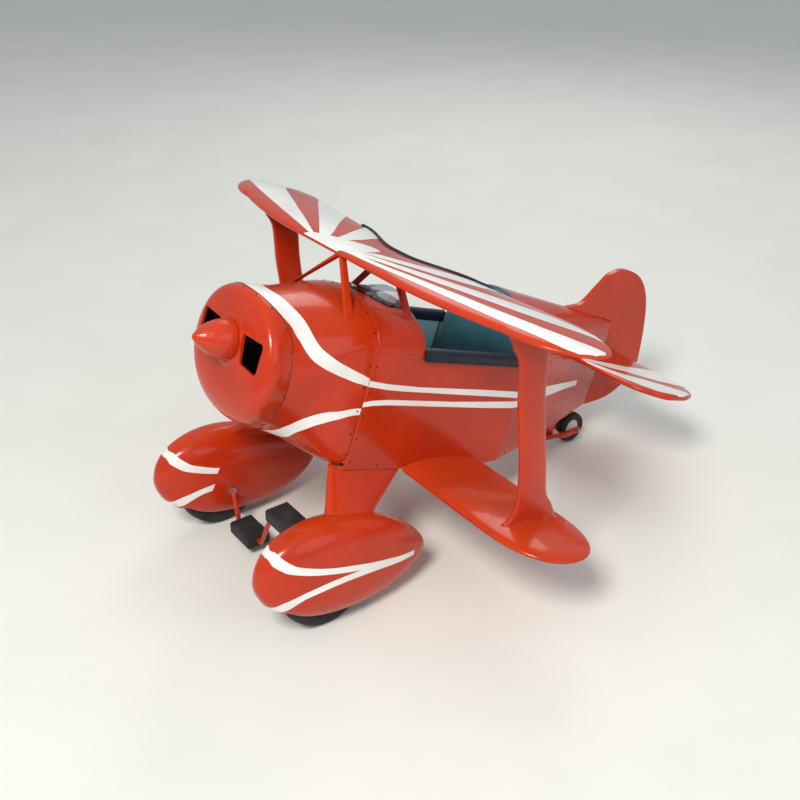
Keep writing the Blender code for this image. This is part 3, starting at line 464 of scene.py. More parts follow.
def make_materials():
    # the second colour is both a faded tone and the painted sunlit tone of the tops
    red, fade_and_sunlit_tone, worn = (0.520, 0.030, 0.004), (0.60, 0.075, 0.012), (0.66, 0.34, 0.25)
    made = {"red": paint("gloss_red_paint", red, fade_and_sunlit_tone, worn),
            "hammered": paint("hammered_red_paint", (0.54, 0.036, 0.008), fade_and_sunlit_tone, worn, 0.02, True)}

    f = Finish("white_vinyl_stripe", Coat_Weight=0.35, Coat_Roughness=0.12)
    tone = f.mix(f.span(f.noise(11.0, 4.0), 0.35, 0.72), (0.86, 0.87, 0.85), (0.76, 0.76, 0.70))
    tone = f.mix(f.span(f.noise(230.0, 2.0), 0.70, 0.76, 0.0, 0.5), tone, (0.45, 0.40, 0.34))
    f.bump(f.noise(300.0, 2.0), 0.03, 0.001)
    made["white"] = f.done(tone, f.span(f.noise(50.0, 3.0), 0.3, 0.7, 0.28, 0.45))

    f = Finish("black_rubber", Specular_IOR_Level=0.35)
    tone = f.mix(f.span(f.noise(16.0, 4.0), 0.45, 0.75, 0.0, 0.65), (0.014, 0.014, 0.016),
                 (0.060, 0.055, 0.050))
    tone = f.mix(f.span(f.edges(), 0.54, 0.62, 0.0, 0.35), tone, (0.11, 0.105, 0.10))
    f.bump(f.noise(700.0, 3.0), 0.25, 0.001)
    made["rubber"] = f.done(tone, f.span(f.noise(60.0), 0.3, 0.7, 0.62, 0.85))

    f = Finish("navy_padded_vinyl", Sheen_Weight=0.06, Coat_Weight=0.06, Coat_Roughness=0.35,
               Specular_IOR_Level=0.3)
    tone = f.mix(f.span(f.noise(22.0, 4.0), 0.35, 0.7), (0.004, 0.007, 0.022), (0.010, 0.015, 0.038))
    tone = f.mix(f.span(f.edges(), 0.54, 0.62, 0.0, 0.4), tone, (0.04, 0.052, 0.085))
    f.bump(f.cells(520.0, "DISTANCE_TO_EDGE"), 0.35, 0.0015)
    f.bump(f.noise(70.0, 3.0), 0.18, 0.004)
    made["navy"] = f.done(tone, f.span(f.noise(90.0), 0.3, 0.7, 0.38, 0.58))

    def cloth(name, dark, light):
        f = Finish(name, Sheen_Weight=0.35, Sheen_Roughness=0.4, Specular_IOR_Level=0.25)
        lie = f.stretched((1, 1, 1), (FUSELAGE_PITCH, 0, 0))
        warp, weft = f.bands(150.0, "X", lie, 0.4), f.bands(150.0, "Z", lie, 0.4)
        weave = f.combine(warp, weft, "MAXIMUM")
        tone = f.mix(f.span(f.noise(9.0, 5.0), 0.32, 0.7), dark, light)
        tone = f.mix(f.span(weave, 0.2, 0.9, 0.30, 0.0), tone, tuple(c * 0.55 for c in dark))
        tone = f.mix(f.span(f.noise(420.0, 3.0), 0.5, 0.75, 0.0, 0.25), tone,
                     tuple(min(1.0, c * 1.6) for c in light))
        f.bump(f.noise(26.0, 3.0), 0.22, 0.006)
        f.bump(weave, 0.35, 0.0008)
        return f.done(tone, f.span(f.noise(120.0), 0.3, 0.7, 0.62, 0.82))

    made["teal"] = cloth("teal_upholstery", (0.030, 0.140, 0.185), (0.052, 0.195, 0.245))
    # the lining's pale teal is a painted sunlit copy of the teal upholstery
    made["sunlit_teal"] = cloth("sunlit_teal_lining", (0.245, 0.52, 0.50), (0.33, 0.62, 0.60))

    f = Finish("birch_plywood", Coat_Weight=0.1)
    long = f.stretched((4.0, 30.0, 180.0))
    grain = f.noise(1.0, 5.0, 0.6, long)
    tone = f.mix(f.span(grain, 0.3, 0.72), (0.30, 0.18, 0.085), (0.52, 0.36, 0.20))
    tone = f.mix(f.span(f.noise(12.0), 0.5, 0.8, 0.0, 0.4), tone, (0.20, 0.13, 0.07))
    f.bump(grain, 0.2, 0.001)
    made["wood"] = f.done(tone, f.span(grain, 0.3, 0.7, 0.5, 0.7))

    def metal(name, bright, dull, low, high):
        f = Finish(name, metallic=1.0)
        lines = f.noise(1.0, 3.0, 0.6, f.stretched((900.0, 60.0, 900.0)))
        tone = f.mix(f.span(f.noise(40.0, 5.0), 0.4, 0.72), bright, dull)
        tone = f.mix(f.span(f.noise(160.0), 0.62, 0.72, 0.0, 0.5), tone, (0.16, 0.09, 0.05))
        f.bump(lines, 0.12, 0.0006)
        return f.done(tone, f.span(lines, 0.3, 0.7, low, high))

    made["steel"] = metal("zinc_steel", (0.58, 0.58, 0.57), (0.40, 0.39, 0.37), 0.26, 0.46)
    made["dark_steel"] = metal("dark_screw", (0.07, 0.065, 0.06), (0.035, 0.03, 0.03), 0.32, 0.5)

    f = Finish("clear_acrylic", Transmission_Weight=1.0, IOR=1.24)
    # the tint is darkened and turned blue-grey as painted shade of the top wing and a painted sky reflection
    tone = f.mix(f.span(f.noise(14.0, 3.0), 0.35, 0.7), (0.46, 0.48, 0.56), (0.43, 0.45, 0.52))
    scratch = f.noise(1.0, 2.0, 0.6, f.stretched((900.0, 40.0, 40.0), (0, 0, 0.6)))
    f.bump(scratch, 0.02, 0.0002)
    made["clear"] = f.done(tone, f.span(scratch, 0.45, 0.8, 0.02, 0.07))

    f = Finish("white_enamel", Coat_Weight=0.3, Coat_Roughness=0.15)
    tone = f.mix(f.span(f.noise(30.0, 4.0), 0.35, 0.7), (0.74, 0.73, 0.69), (0.60, 0.57, 0.50))
    rust = f.combine(f.span(f.edges(), 0.53, 0.60), f.span(f.noise(90.0, 4.0), 0.45, 0.6))
    tone = f.mix(rust, tone, (0.26, 0.13, 0.06))
    f.bump(f.noise(300.0), 0.06, 0.001)
    made["enamel"] = f.done(tone, f.span(f.noise(50.0), 0.3, 0.7, 0.28, 0.5))

    f = Finish("seam_shadow")
    tone = f.mix(f.noise(60.0), (0.035, 0.008, 0.006), (0.075, 0.014, 0.010))
    made["seam"] = f.done(tone, f.span(f.noise(80.0), 0.3, 0.7, 0.5, 0.8))

    f = Finish("dark_primer", Specular_IOR_Level=0.2)
    tone = f.mix(f.span(f.noise(24.0, 4.0), 0.35, 0.7), (0.010, 0.009, 0.009), (0.022, 0.018, 0.017))
    f.bump(f.noise(240.0, 3.0), 0.2, 0.001)
    made["primer"] = f.done(tone, f.span(f.noise(70.0), 0.3, 0.7, 0.70, 0.92))

    f = Finish("pale_floor", Specular_IOR_Level=0.2)
    tone = f.mix(f.span(f.noise(3.0, 5.0), 0.35, 0.7), (0.80, 0.81, 0.76), (0.76, 0.775, 0.72))
    f.bump(f.noise(60.0, 4.0), 0.06, 0.002)
    made["floor"] = f.done(tone, f.span(f.noise(5.0), 0.3, 0.7, 0.75, 0.9))
    return made


MATERIAL = make_materials()


# ---------------------------------------------------------------- mesh helpers
def loft(rings, closed=False, caps=True, strips=False):
    """Skin a row of rings that all have the same number of points."""
    bm = bmesh.new()
    rows = [[bm.verts.new(point) for point in ring] for ring in rings]
    count = len(rows[0])
    pairs = list(zip(rows, rows[1:]))
    if closed:
        pairs.append((rows[-1], rows[0]))
    for first, second in pairs:
        for i in range(count):
            j = (i + 1) % count
            bm.faces.new((first[i], first[j], second[j], second[i]))
    if caps and not closed:
        for row in (rows[0], rows[-1]):
            if strips:
                for i in range(count // 2):
                    corners = (row[i], row[i + 1], row[count - i - 1], row[(count - i) % count])
                    bm.faces.new(list(dict.fromkeys(corners)))
            else:
                bm.faces.new(row)
    return bm


def on_body(rings):
    """Rings given in the fuselage's frame, moved to the part's."""
    return [[body_at(*point) for point in ring] for ring in rings]


def join(meshes):
    """Several separate shapes as one mesh."""
    whole = bmesh.new()
    for bm in meshes:
        scrap = bpy.data.meshes.new("scrap")
        bm.to_mesh(scrap)
        bm.free()
        whole.from_mesh(scrap)
        bpy.data.meshes.remove(scrap)
    return whole


def add(name, bm, material, body="airframe", stands_for=(), sharp=38.0, closed=True):
    """A finished piece riding on a body, standing for the CAD nodes named."""
    if closed:
        bmesh.ops.recalc_face_normals(bm, faces=bm.faces[:])
    mesh = bpy.data.meshes.new(name)
    bm.to_mesh(mesh)
    bm.free()
    mesh.shade_smooth()
    mesh.set_sharp_from_angle(angle=math.radians(sharp))
    piece = bpy.data.objects.new(name, mesh)
    mesh.materials.append(MATERIAL[material])
    bpy.context.collection.objects.link(piece)
    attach(piece, body)
    if stands_for:
        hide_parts(*([stands_for] if isinstance(stands_for, str) else stands_for))
    return piece


def painted(name, bm, stands_for, sharp=38.0):
    """A red painted piece of the airframe."""
    return add(name, bm, "red", stands_for=stands_for, sharp=sharp)


def line_inside(piece, count, first, last):
    """Give the faces of a lofted skin's inner rows a dark primer."""
    piece.data.materials.append(MATERIAL["primer"])
    for face in piece.data.polygons:
        if first <= face.index // count < last:
            face.material_index = 1


def round_edges(piece, width, segments=3, angle=40.0):
    bevel = piece.modifiers.new("rounded_edges", "BEVEL")
    bevel.width = width
    bevel.segments = segments
    bevel.limit_method = "ANGLE"
    bevel.angle_limit = math.radians(angle)
    bevel.harden_normals = False


def settle(piece):
    """Apply a piece's modifiers to its mesh."""
    graph = bpy.context.evaluated_depsgraph_get()
    old = piece.data
    piece.data = bpy.data.meshes.new_from_object(piece.evaluated_get(graph))
    piece.modifiers.clear()
    bpy.data.meshes.remove(old)


def carve(piece, tools, sharp=38.0):
    """Cut closed shapes out of a piece."""
    made = []
    for k, bm in enumerate(tools):
        bmesh.ops.recalc_face_normals(bm, faces=bm.faces[:])
        mesh = bpy.data.meshes.new("tool")
        bm.to_mesh(mesh)
        bm.free()
        tool = bpy.data.objects.new("tool", mesh)
        bpy.context.collection.objects.link(tool)
        cut = piece.modifiers.new("cut_%d" % k, "BOOLEAN")
        cut.operation, cut.solver, cut.object = "DIFFERENCE", "EXACT", tool
        made.append(tool)
    settle(piece)
    piece.data.shade_smooth()
    piece.data.set_sharp_from_angle(angle=math.radians(sharp))
    for tool in made:
        mesh = tool.data
        bpy.data.objects.remove(tool, do_unlink=True)
        bpy.data.meshes.remove(mesh)


def full_turn(count):
    """Angles evenly spaced round a circle."""
    return [2 * math.pi * i / count for i in range(count)]


def circle(centre, radius, count, axis="X"):
    points = []
    for turn in full_turn(count):
        u, v = radius * math.cos(turn), radius * math.sin(turn)
        points.append(Vector(centre) + Vector({"X": (0, u, v), "Y": (u, 0, v), "Z": (u, v, 0)}[axis]))
    return points


def revolve(profile, centre, count, axis="X", shape=None):
    """A ring turned about an axis; shape may change the radius from place to place."""
    rings = []
    for along, radius in profile:
        ring = []
        for turn in full_turn(count):
            r = shape(along, radius, turn) if shape else radius
            u, v = r * math.cos(turn), r * math.sin(turn)
            offset = {"X": (along, u, v), "Y": (u, along, v), "Z": (u, v, along)}[axis]
            ring.append(Vector(centre) + Vector(offset))
        rings.append(ring)
    return loft(rings, closed=True)


def tube(points, radius, sides, cap=True):
    """A round bar along a path; radius may be a number or a rule of the place along it."""
    points = [Vector(p) for p in points]
    rings, normal = [], None
    for i, point in enumerate(points):
        ahead = points[min(i + 1, len(points) - 1)] - point
        behind = point - points[max(i - 1, 0)]
        tangent = (ahead.normalized() + behind.normalized()).normalized()
        if normal is None:
            start = Vector((0, 1, 0)) if abs(tangent.y) < 0.7 else Vector((1, 0, 0))
            normal = start - tangent * start.dot(tangent)
        normal = (normal - tangent * normal.dot(tangent)).normalized()
        side = tangent.cross(normal)
        r = radius(i / (len(points) - 1)) if callable(radius) else radius
        rings.append([point + r * (normal * math.cos(a) + side * math.sin(a))
                      for a in full_turn(sides)])
    return loft(rings, caps=cap)


def filleted(corners, radius, steps=8):
    corners = [Vector(c) for c in corners]
    path = [corners[0]]
    for before, corner, after in zip(corners, corners[1:], corners[2:]):
        back, forth = (before - corner).normalized(), (after - corner).normalized()
        start, end = corner + back * radius, corner + forth * radius
        for k in range(steps + 1):
            t = k / steps
            path.append(start * (1 - t) ** 2 + corner * 2 * t * (1 - t) + end * t ** 2)
    path.append(corners[-1])
    return path


def rounded(outline, radius, steps=4):
    """A closed flat outline with its corners rounded off."""
    count = len(outline)
    points = [Vector((u, v, 0.0)) for u, v in outline]
    made = []
    for i, corner in enumerate(points):
        before, after = points[i - 1], points[(i + 1) % count]
        reach = min(radius, 0.45 * (before - corner).length, 0.45 * (after - corner).length)
        start = corner + (before - corner).normalized() * reach
        end = corner + (after - corner).normalized() * reach
        for k in range(steps + 1):
            t = k / steps
            p = start * (1 - t) ** 2 + corner * 2 * t * (1 - t) + end * t ** 2
            made.append((p.x, p.y))
    return made


def plate(outline, thickness, to_point):
    return loft([[to_point(u, v, side * thickness / 2) for u, v in outline] for side in (-1, 1)])


def mirrored(profile):
    """A profile followed by its mirror image, for a piece alike on both sides."""
    return profile + [(-x, r) for x, r in reversed(profile)]


def spaced(low, high, count):
    return [lerp(low, high, k / count) for k in range(count + 1)]


def densified(outline, step):
    """The outline with points added along its long edges."""
    made = []
    for (u0, v0), (u1, v1) in zip(outline, outline[1:] + outline[:1]):
        pieces = max(1, int(math.hypot(u1 - u0, v1 - v0) / step))
        made += [(lerp(u0, u1, k / pieces), lerp(v0, v1, k / pieces)) for k in range(pieces)]
    return made


def decal(name, outlines, place, u_cuts, v_cuts, outward, outside=None, body="airframe"):
    """A thin white stripe: flat outlines cut into small cells and laid on a surface."""
    bm = bmesh.new()
    for outline in outlines:
        bm.faces.new([bm.verts.new((u, v, 0.0)) for u, v in outline])
    bm.normal_update()
    bmesh.ops.triangulate(bm, faces=bm.faces[:])
    for cuts, normal in ((u_cuts, (1, 0, 0)), (v_cuts, (0, 1, 0))):
        for c in cuts:
            bmesh.ops.bisect_plane(bm, geom=bm.verts[:] + bm.edges[:] + bm.faces[:], dist=1e-6,
                                   plane_co=(c * normal[0], c * normal[1], 0), plane_no=normal)
    if outside:
        gone = [f for f in bm.faces if outside(*f.calc_center_median()[:2])]
        bmesh.ops.delete(bm, geom=gone, context="FACES")
    bmesh.ops.remove_doubles(bm, verts=bm.verts[:], dist=1e-5)
    bmesh.ops.dissolve_degenerate(bm, edges=bm.edges[:], dist=1e-6)
    bm.normal_update()
    middle = next(iter(bm.faces)).calc_center_median()
    across = place(middle.x + 1e-4, middle.y) - place(middle.x, middle.y)
    along = place(middle.x, middle.y + 1e-4) - place(middle.x, middle.y)
    up = 1 if across.cross(along).dot(outward(place(middle.x, middle.y))) > 0 else -1
    bmesh.ops.reverse_faces(bm, faces=[f for f in bm.faces if f.normal.z * up < 0])
    for vert in bm.verts:
        vert.co = place(vert.co.x, vert.co.y)
    return add(name, bm, "white", body, sharp=60.0, closed=False)


def surface_normal(place, u, v, inside):
    """A surface's normal at a place, pointing away from a point inside."""
    e = 1e-4
    n = (place(u + e, v) - place(u - e, v)).cross(place(u, v + e) - place(u, v - e))
    if n.length < 1e-14:
        n = place(u, v) - inside
    n.normalize()
    return n if n.dot(place(u, v) - inside) > 0 else -n


def screws(name, places, radius, body="airframe", material="dark_steel"):
    """Small pan-head screws, each with a recess, as one piece."""
    profile = ((1.0, -0.10), (1.0, 0.18), (0.86, 0.42), (0.55, 0.58), (0.34, 0.60), (0.26, 0.38),
               (0.0, 0.34))
    heads = []
    for point, normal in places:
        side = normal.orthogonal().normalized()
        over = normal.cross(side)
        rings = []
        for r, h in profile:
            r = max(r, 0.02)
            rings.append([point + radius * (normal * h + r * (side * math.cos(a) + over * math.sin(a)))
                          for a in full_turn(12)])
        heads.append(loft(rings))
    return add(name, join(heads), material, body, sharp=50.0)


def even_turns(section, count):
    """Turns about a section's centre, closer together where its outline bends sharply."""
    fine = 1440
    points = [section(2 * math.pi * k / fine) for k in range(fine + 1)]
    weights = [0.0]
    for k in range(fine):
        a, b, c = points[k - 1] if k else points[-2], points[k], points[k + 1]
        weights.append(weights[-1] + (c - b).length + 0.05 * (b - a).angle(c - b, 0.0))
    turns, k = [], 0
    for i in range(count):
        target = weights[-1] * i / count
        while weights[k + 1] < target:
            k += 1
        share = (target - weights[k]) / max(weights[k + 1] - weights[k], 1e-12)
        turns.append(2 * math.pi * (k + share) / fine)
    return turns


# ---------------------------------------------------------------- nose
def make_cowl():
    turns = full_turn(112)
    scales = [1 - 0.5 * (k / 34) ** 5 for k in range(35)]
    rings = []
    for side in (0, 1):
        inset = SKIN * side
        wall = [[bowl_at(s, a, inset) for a in turns] for s in scales]
        boss = SPINNER_RADIUS + BOSS_RIM - inset
        for radius, forward in ((boss + 0.004, 0.0), (boss, -0.0003), (boss - 0.002, -0.0012),
                                (boss - 0.004, -0.0017), (0.030, -0.0017), (SHAFT_HOLE, -0.0017)):
            wall.append([Vector((radius * math.cos(a), BOWL_FRONT + inset + forward,
                                 SPINNER_HEIGHT + radius * math.sin(a))) for a in turns])
        rings += wall if side == 0 else wall[::-1]
    bowl = painted("nose_bowl", loft(on_body(rings), closed=True), "cowl_bowl")
    line_inside(bowl, len(turns), len(rings) // 2, len(rings) - 1)
    corners = [(0.044, 0.028), (0.109, 0.030), (0.1135, 0.022), (0.112, -0.027), (0.106, -0.033),
               (0.052, -0.029)]
    tools = []
    for side, _ in SIDES:
        outline = rounded([(side * x, SPINNER_HEIGHT + z) for x, z in corners], 0.0045)
        tools.append(plate(outline, 0.10, lambda u, v, w: body_at(u, 0.105 + w, v)))
    carve(bowl, tools)
    centre = body_at(0, 0.20, -0.06)
    place = lambda s, a: body_at(*front_at(s, a))
    heads = []
    for k in range(20):
        a = 2 * math.pi * (k + 0.35) / 20
        s = cowl_line(a) - 0.0042
        heads.append((place(s, a), surface_normal(place, s, a, centre)))
    screws("cowl_screws", heads, 0.0017)
    ring = [body_at(*front_at(cowl_line(a), a, -0.0001)) for a in turns]
    seam = tube(ring + [ring[0]], 0.0006, 6, cap=False)
    add("cowl_seam_line", seam, "seam")


def make_spinner():
    rings = []
    steps = 56
    for k in range(steps + 1):
        u = 0.0002 + 0.9998 * (k / steps) ** 1.5
        radius = SPINNER_RADIUS * math.sin(math.pi / 2 * u ** 0.78)
        rings.append(circle((0, SPINNER_LENGTH * u, SPINNER_HEIGHT), radius, 80, "Y"))
    for radius in (SPINNER_RADIUS - 0.0006, SPINNER_RADIUS - 0.004):
        rings.append(circle((0, SPINNER_LENGTH, SPINNER_HEIGHT), radius, 80, "Y"))
    add("spinner_cone", loft(on_body(rings)), "hammered", "spinner", "spinner")


NOSE_TURNS = even_turns(lambda a: nose_at(0.285, a), 176)


def make_nose():
    stations = spaced(COWL_SEAM - 0.0004, BODY_SEAM - 0.0022, 44)
    rounding = [(BODY_SEAM - 0.0013, 0.0002), (BODY_SEAM - 0.0006, 0.0007), (BODY_SEAM - GAP, 0.0015)]
    outer = [[nose_at(s, a) for a in NOSE_TURNS] for s in stations]
    outer += [[nose_at(s, a, i) for a in NOSE_TURNS] for s, i in rounding]
    inner = [[nose_at(s, a, SKIN) for a in NOSE_TURNS] for s in
             (BODY_SEAM - GAP, 0.27, 0.22, 0.18, COWL_SEAM)]
    rings = outer + inner
    skin = painted("nose_skin", loft(on_body(rings), closed=True), "nose_shell")
    line_inside(skin, len(NOSE_TURNS), len(outer), len(rings))
    centre = body_at(0, 0.31, -0.08)
    place = lambda s, a: body_at(*nose_at(s, a))
    heads = [(place(0.3090, math.radians(d)), surface_normal(place, 0.3090, math.radians(d), centre))
             for d in (14, 32, 50, 68, 90, 112, 130, 148, 166)]
    for z in (-0.03, -0.075, -0.125, -0.175, -0.225):
        for turn in (math.atan2(z, 0.15), math.pi - math.atan2(z, 0.15)):
            heads.append((place(0.3090, turn), surface_normal(place, 0.3090, turn, centre)))
    screws("body_seam_screws", heads, SEAM_SCREW)


def nose_stripes():
    """Two stripes a side, running back from the nose bowl's seam to the body seam."""
    # on the bowl: station and degrees up from the side; on the shell: across, station and height
    bowl_low = [(0.0994, 90), (0.1000, 84), (0.1019, 78), (0.106, 70), (0.1115, 63), (0.1185, 57),
                (0.127, 51), (0.140, 44)]
    bowl_top = [(0.135, 90), (0.136, 85), (0.140, 80)]
    upper_low = [(0.112, 0.148, 0.008), (0.116, 0.154, 0.001), (0.127, 0.168, -0.0165),
                 (0.134, 0.1835, -0.0305), (0.138, 0.200, -0.039), (0.1415, 0.216, -0.0455),
                 (0.145, 0.250, -0.056), (0.148, 0.2845, -0.065), (0.150, 0.3168, -0.072)]
    upper_top = [(0.032, 0.1437, 0.0595), (0.0475, 0.1495, 0.055), (0.065, 0.1565, 0.049),
                 (0.0785, 0.1645, 0.0415), (0.096, 0.174, 0.0295), (0.115, 0.1845, 0.010),
                 (0.127, 0.196, -0.004), (0.1345, 0.2105, -0.014), (0.144, 0.242, -0.029),
                 (0.148, 0.277, -0.0415), (0.1495, 0.3065, -0.0515), (0.150, 0.3168, -0.055)]
    lower_top = [(0, 0.148, -0.2145), (0.030, 0.157, -0.213), (0.0725, 0.170, -0.201),
                 (0.0925, 0.1765, -0.1905), (0.106, 0.181, -0.1775), (0.124, 0.1955, -0.156),
                 (0.135, 0.2165, -0.1405), (0.143, 0.242, -0.131), (0.1465, 0.2715, -0.1255),
                 (0.1495, 0.3168, -0.1185)]
    lower_low = [(0, 0.176, -0.220), (0.045, 0.190, -0.220), (0.083, 0.2045, -0.211),
                 (0.1025, 0.2047, -0.1965), (0.116, 0.209, -0.183), (0.1325, 0.2255, -0.165),
                 (0.142, 0.2485, -0.1515), (0.147, 0.276, -0.141), (0.1495, 0.3168, -0.132)]
    for side, name in SIDES:
        for label, one, other, top, low in (("upper", upper_top, upper_low, bowl_top, bowl_low),
                                            ("lower", lower_top, lower_low, [], [])):
            lines = []
            for line, front in ((one, top), (other, low)):
                turned = [(s, math.radians(d)) for s, d in front]
                turned += [(s, nose_turn(x, s, h)) for x, s, h in line]
                lines.append(smooth_curve(turned, 4))
            place = lambda s, a: body_at(*front_at(s, a if side > 0 else math.pi - a, -DECAL_LIFT))
            decal("nose_stripe_%s_%s" % (label, name), [lines[0] + lines[1][::-1]], place,
                  spaced(0.088, 0.1412, 22) + spaced(0.145, 0.320, 40),
                  [math.radians(d) for d in range(-88, 90, 2)], lambda p: p - body_at(0, 0.2, -0.07))


# ---------------------------------------------------------------- fuselage
def make_sides():
    stations = [BODY_SEAM, BODY_SEAM + 0.0004, BODY_SEAM + 0.0015] + spaced(0.325, 0.74, 30) \
        + spaced(COCKPIT_REAR, TAIL_POST - 0.001, 40) + [TAIL_POST]
    high = [(0.318, -0.060), (0.3665, -0.0655), (0.4525, -0.0695), (0.637, -0.070), (0.862, -0.0733)]
    slot_high = [(0.318, -0.0725), (0.371, -0.078), (0.4135, -0.080), (0.862, -0.0885)]
    slot_low = [(0.318, -0.106), (0.338, -0.102), (0.378, -0.099), (0.554, -0.0995),
                (0.648, -0.0975), (0.815, -0.0925), (0.862, -0.0885)]
    low = [(0.318, -0.1165), (0.342, -0.113), (0.3825, -0.1107), (0.6545, -0.112),
           (0.759, -0.1106), (0.862, -0.1037)]
    tail = [(0.862, -0.0733), (1.057, -0.075), (1.060, -0.0885), (0.995, -0.092), (0.862, -0.1037)]
    outlines = [high + slot_high[::-1], slot_low + low[::-1], tail]
    for side, name in SIDES:
        rings = []
        for s in stations:
            draw = 0.0012 if s in (BODY_SEAM, TAIL_POST) else 0.0003 if s == BODY_SEAM + 0.0004 else 0.0
            outer, low = side_half_width(s), side_bottom(s)
            inner = outer - min(PANEL, outer * 0.5)
            outer -= draw
            square = rounded([(outer, low), (outer, 0.0), (inner, 0.0), (inner, low)], 0.0016, 3)
            rings.append([body_at(side * x, s, z) for x, z in square])
        painted("side_panel_" + name, loft(rings), "side_" + name)
        place = lambda s, h: body_at(side * (side_half_width(s) + DECAL_LIFT), s, h)
        decal("side_stripe_" + name, outlines, place, spaced(0.33, 1.05, 24) + [COCKPIT_REAR],
              [], lambda p: Vector((p.x, 0, 0)))
        heads = []
        for s, h in [(0.3260, z) for z in (-0.03, -0.085, -0.135, -0.185, -0.235)] \
                + [(s, side_bottom(s) + 0.010) for s in spaced(0.40, 1.08, 9)] \
                + [(s, -0.010) for s in spaced(0.79, 1.08, 4)]:
            point = body_at(side * side_half_width(s), s, h)
            heads.append((point, Vector((side, 0, 0))))
        screws("side_screws_" + name, heads, PANEL_SCREW)


def make_decks():
    turns = spaced(0, math.pi, 72)
    ends = {0: 0.0010, 1: 0.0003}
    stations = [BODY_SEAM, BODY_SEAM + 0.0006] + spaced(BODY_SEAM + 0.002, COCKPIT_FRONT - 0.002, 22)
    stations += [COCKPIT_FRONT - 0.0006, COCKPIT_FRONT]

    def shell(stations, half, rise, skin):
        rings = []
        last = len(stations) - 1
        for k, s in enumerate(stations):
            draw = ends.get(min(k, last - k), 0.0)
            thick = skin(s)
            outer = [arch_point(s, half(s) - draw, rise(s) - draw, a) for a in turns]
            inner = [arch_point(s, half(s), rise(s), a, thick) for a in reversed(turns)]
            rings.append(outer + inner)
        return loft(on_body(rings))

    painted("deck_skin", shell(stations, lambda s: BODY_HALF_WIDTH, deck_rise, lambda s: SKIN),
            "forward_deck")
    stations = [COCKPIT_REAR + 0.0073, COCKPIT_REAR + 0.0079] \
        + spaced(COCKPIT_REAR + 0.010, TAIL_POST - 0.003, 44) + [TAIL_POST - 0.0009, TAIL_POST - 0.0004]
    painted("turtledeck_skin", shell(stations, side_half_width, ridge,
                                     lambda s: min(SKIN, side_half_width(s) * 0.45)), "turtledeck")


def make_rails():
    """Padded channels over the cockpit's side edges, with a row of stitches below the roll."""
    inner, outer = BODY_HALF_WIDTH - PANEL - GAP, BODY_HALF_WIDTH + GAP
    middle = BODY_HALF_WIDTH - PANEL / 2
    for side, name in SIDES:
        rings, stations = [], spaced(COCKPIT_FRONT + 0.001, COCKPIT_REAR - 0.0010, 90)
        for k, s in enumerate(stations):
            end = min(k, len(stations) - 1 - k) * (stations[1] - stations[0])
            fall = 1 - 0.28 * max(0.0, 1 - end / 0.010) ** 2
            pucker = 0.00035 * math.sin(s * 2 * math.pi / 0.0125)
            pucker += 0.0005 * noise.noise((s * 60, side, 0))
            dome = [((0.0135 + pucker) * fall * math.cos(a), (0.003 + (0.0105 + pucker) * math.sin(a)) * fall)
                    for a in spaced(0, math.pi, 18)]
            lip = [(x * fall, z) for x, z in ((0.0100, -0.0122), (0.0112, -0.0105),
                                              (RAIL_HALF_WIDTH, -0.0070), (0.0128, -0.0030))]
            section = [(outer, -0.012)] + [(middle + x, z) for x, z in lip + dome]
            section += [(middle - x, z) for x, z in reversed(lip)]
            section += [(inner, -0.012), (inner, GAP), (outer, GAP)]
            rings.append([body_at(side * x, s, z) for x, z in section])
        rail = add("padded_rail_" + name, loft(rings), "navy",
                   stands_for="cockpit_rail_" + name, sharp=55.0)
        stitches = []
        for s in spaced(COCKPIT_FRONT + 0.008, COCKPIT_REAR - 0.030, 44):
            for out in (1, -1):
                x = middle + out * 0.0113
                ends = [body_at(side * x, s + d, -0.0093) for d in (-0.0017, 0.0017)]
                stitches.append(tube([ends[0], (ends[0] + ends[1]) / 2, ends[1]], 0.00038, 6))
        add("rail_stitches_" + name, join(stitches), "navy")


def make_windscreen():
    rows, columns = 22, 44
    top, low = [], []
    for i in range(columns + 1):
        x = lerp(-SCREEN_HALF_WIDTH, SCREEN_HALF_WIDTH, i / columns)
        front = screen_station(x)
        stations = [lerp(front, COCKPIT_FRONT - 0.001, k / rows) for k in range(rows + 1)]
        low.append([body_at(x, s, screen_height(s, x)) for s in stations])
        top.append([body_at(x, s, screen_height(s, x) + SCREEN_THICKNESS) for s in stations])
    rings = [a + b[::-1] for a, b in zip(low, top)]
    add("clear_screen", loft(rings), "clear", stands_for="windscreen")
    place = lambda x, s: body_at(x, s, screen_height(s, x) + SCREEN_THICKNESS)
    centre = body_at(0, 0.40, -0.2)
    spots = [(x, screen_station(x) + 0.0055) for x in spaced(-0.060, 0.060, 6)]
    spots += [(side * 0.0655, s) for side, _ in SIDES for s in (0.396, 0.418, 0.433)]
    screws("screen_screws", [(place(*p), surface_normal(place, *p, centre)) for p in spots], 0.0028)


def swell(name, bm, keep, limit, voxel, material, stands_for):
    """A stuffed pad: the slack shape is blown up as cloth, held to a limit and to what it rests on."""
    piece = add(name, bm, material, stands_for=stands_for, sharp=80.0)
    mesher = piece.modifiers.new("even_mesh", "REMESH")
    mesher.mode, mesher.voxel_size = "VOXEL", voxel
    settle(piece)
    start = [v.co.copy() for v in piece.data.vertices]
    cloth = piece.modifiers.new("stuffing", "CLOTH")
    cloth.settings.quality = 6
    cloth.settings.use_pressure = True
    cloth.settings.uniform_pressure_force = 4.0
    cloth.settings.effector_weights.gravity = 0.0
    scene = bpy.context.scene
    for moment in range(1, 21):
        scene.frame_set(moment)
    settle(piece)
    scene.frame_set(1)
    for vert, rest in zip(piece.data.vertices, start):
        move = vert.co - rest
        if move.length > limit:
            move *= limit / move.length
        vert.co = keep(rest + move)
    finer = piece.modifiers.new("finer", "SUBSURF")
    finer.levels = finer.render_levels = 1
    settle(piece)
    piece.data.shade_smooth()
    return piece


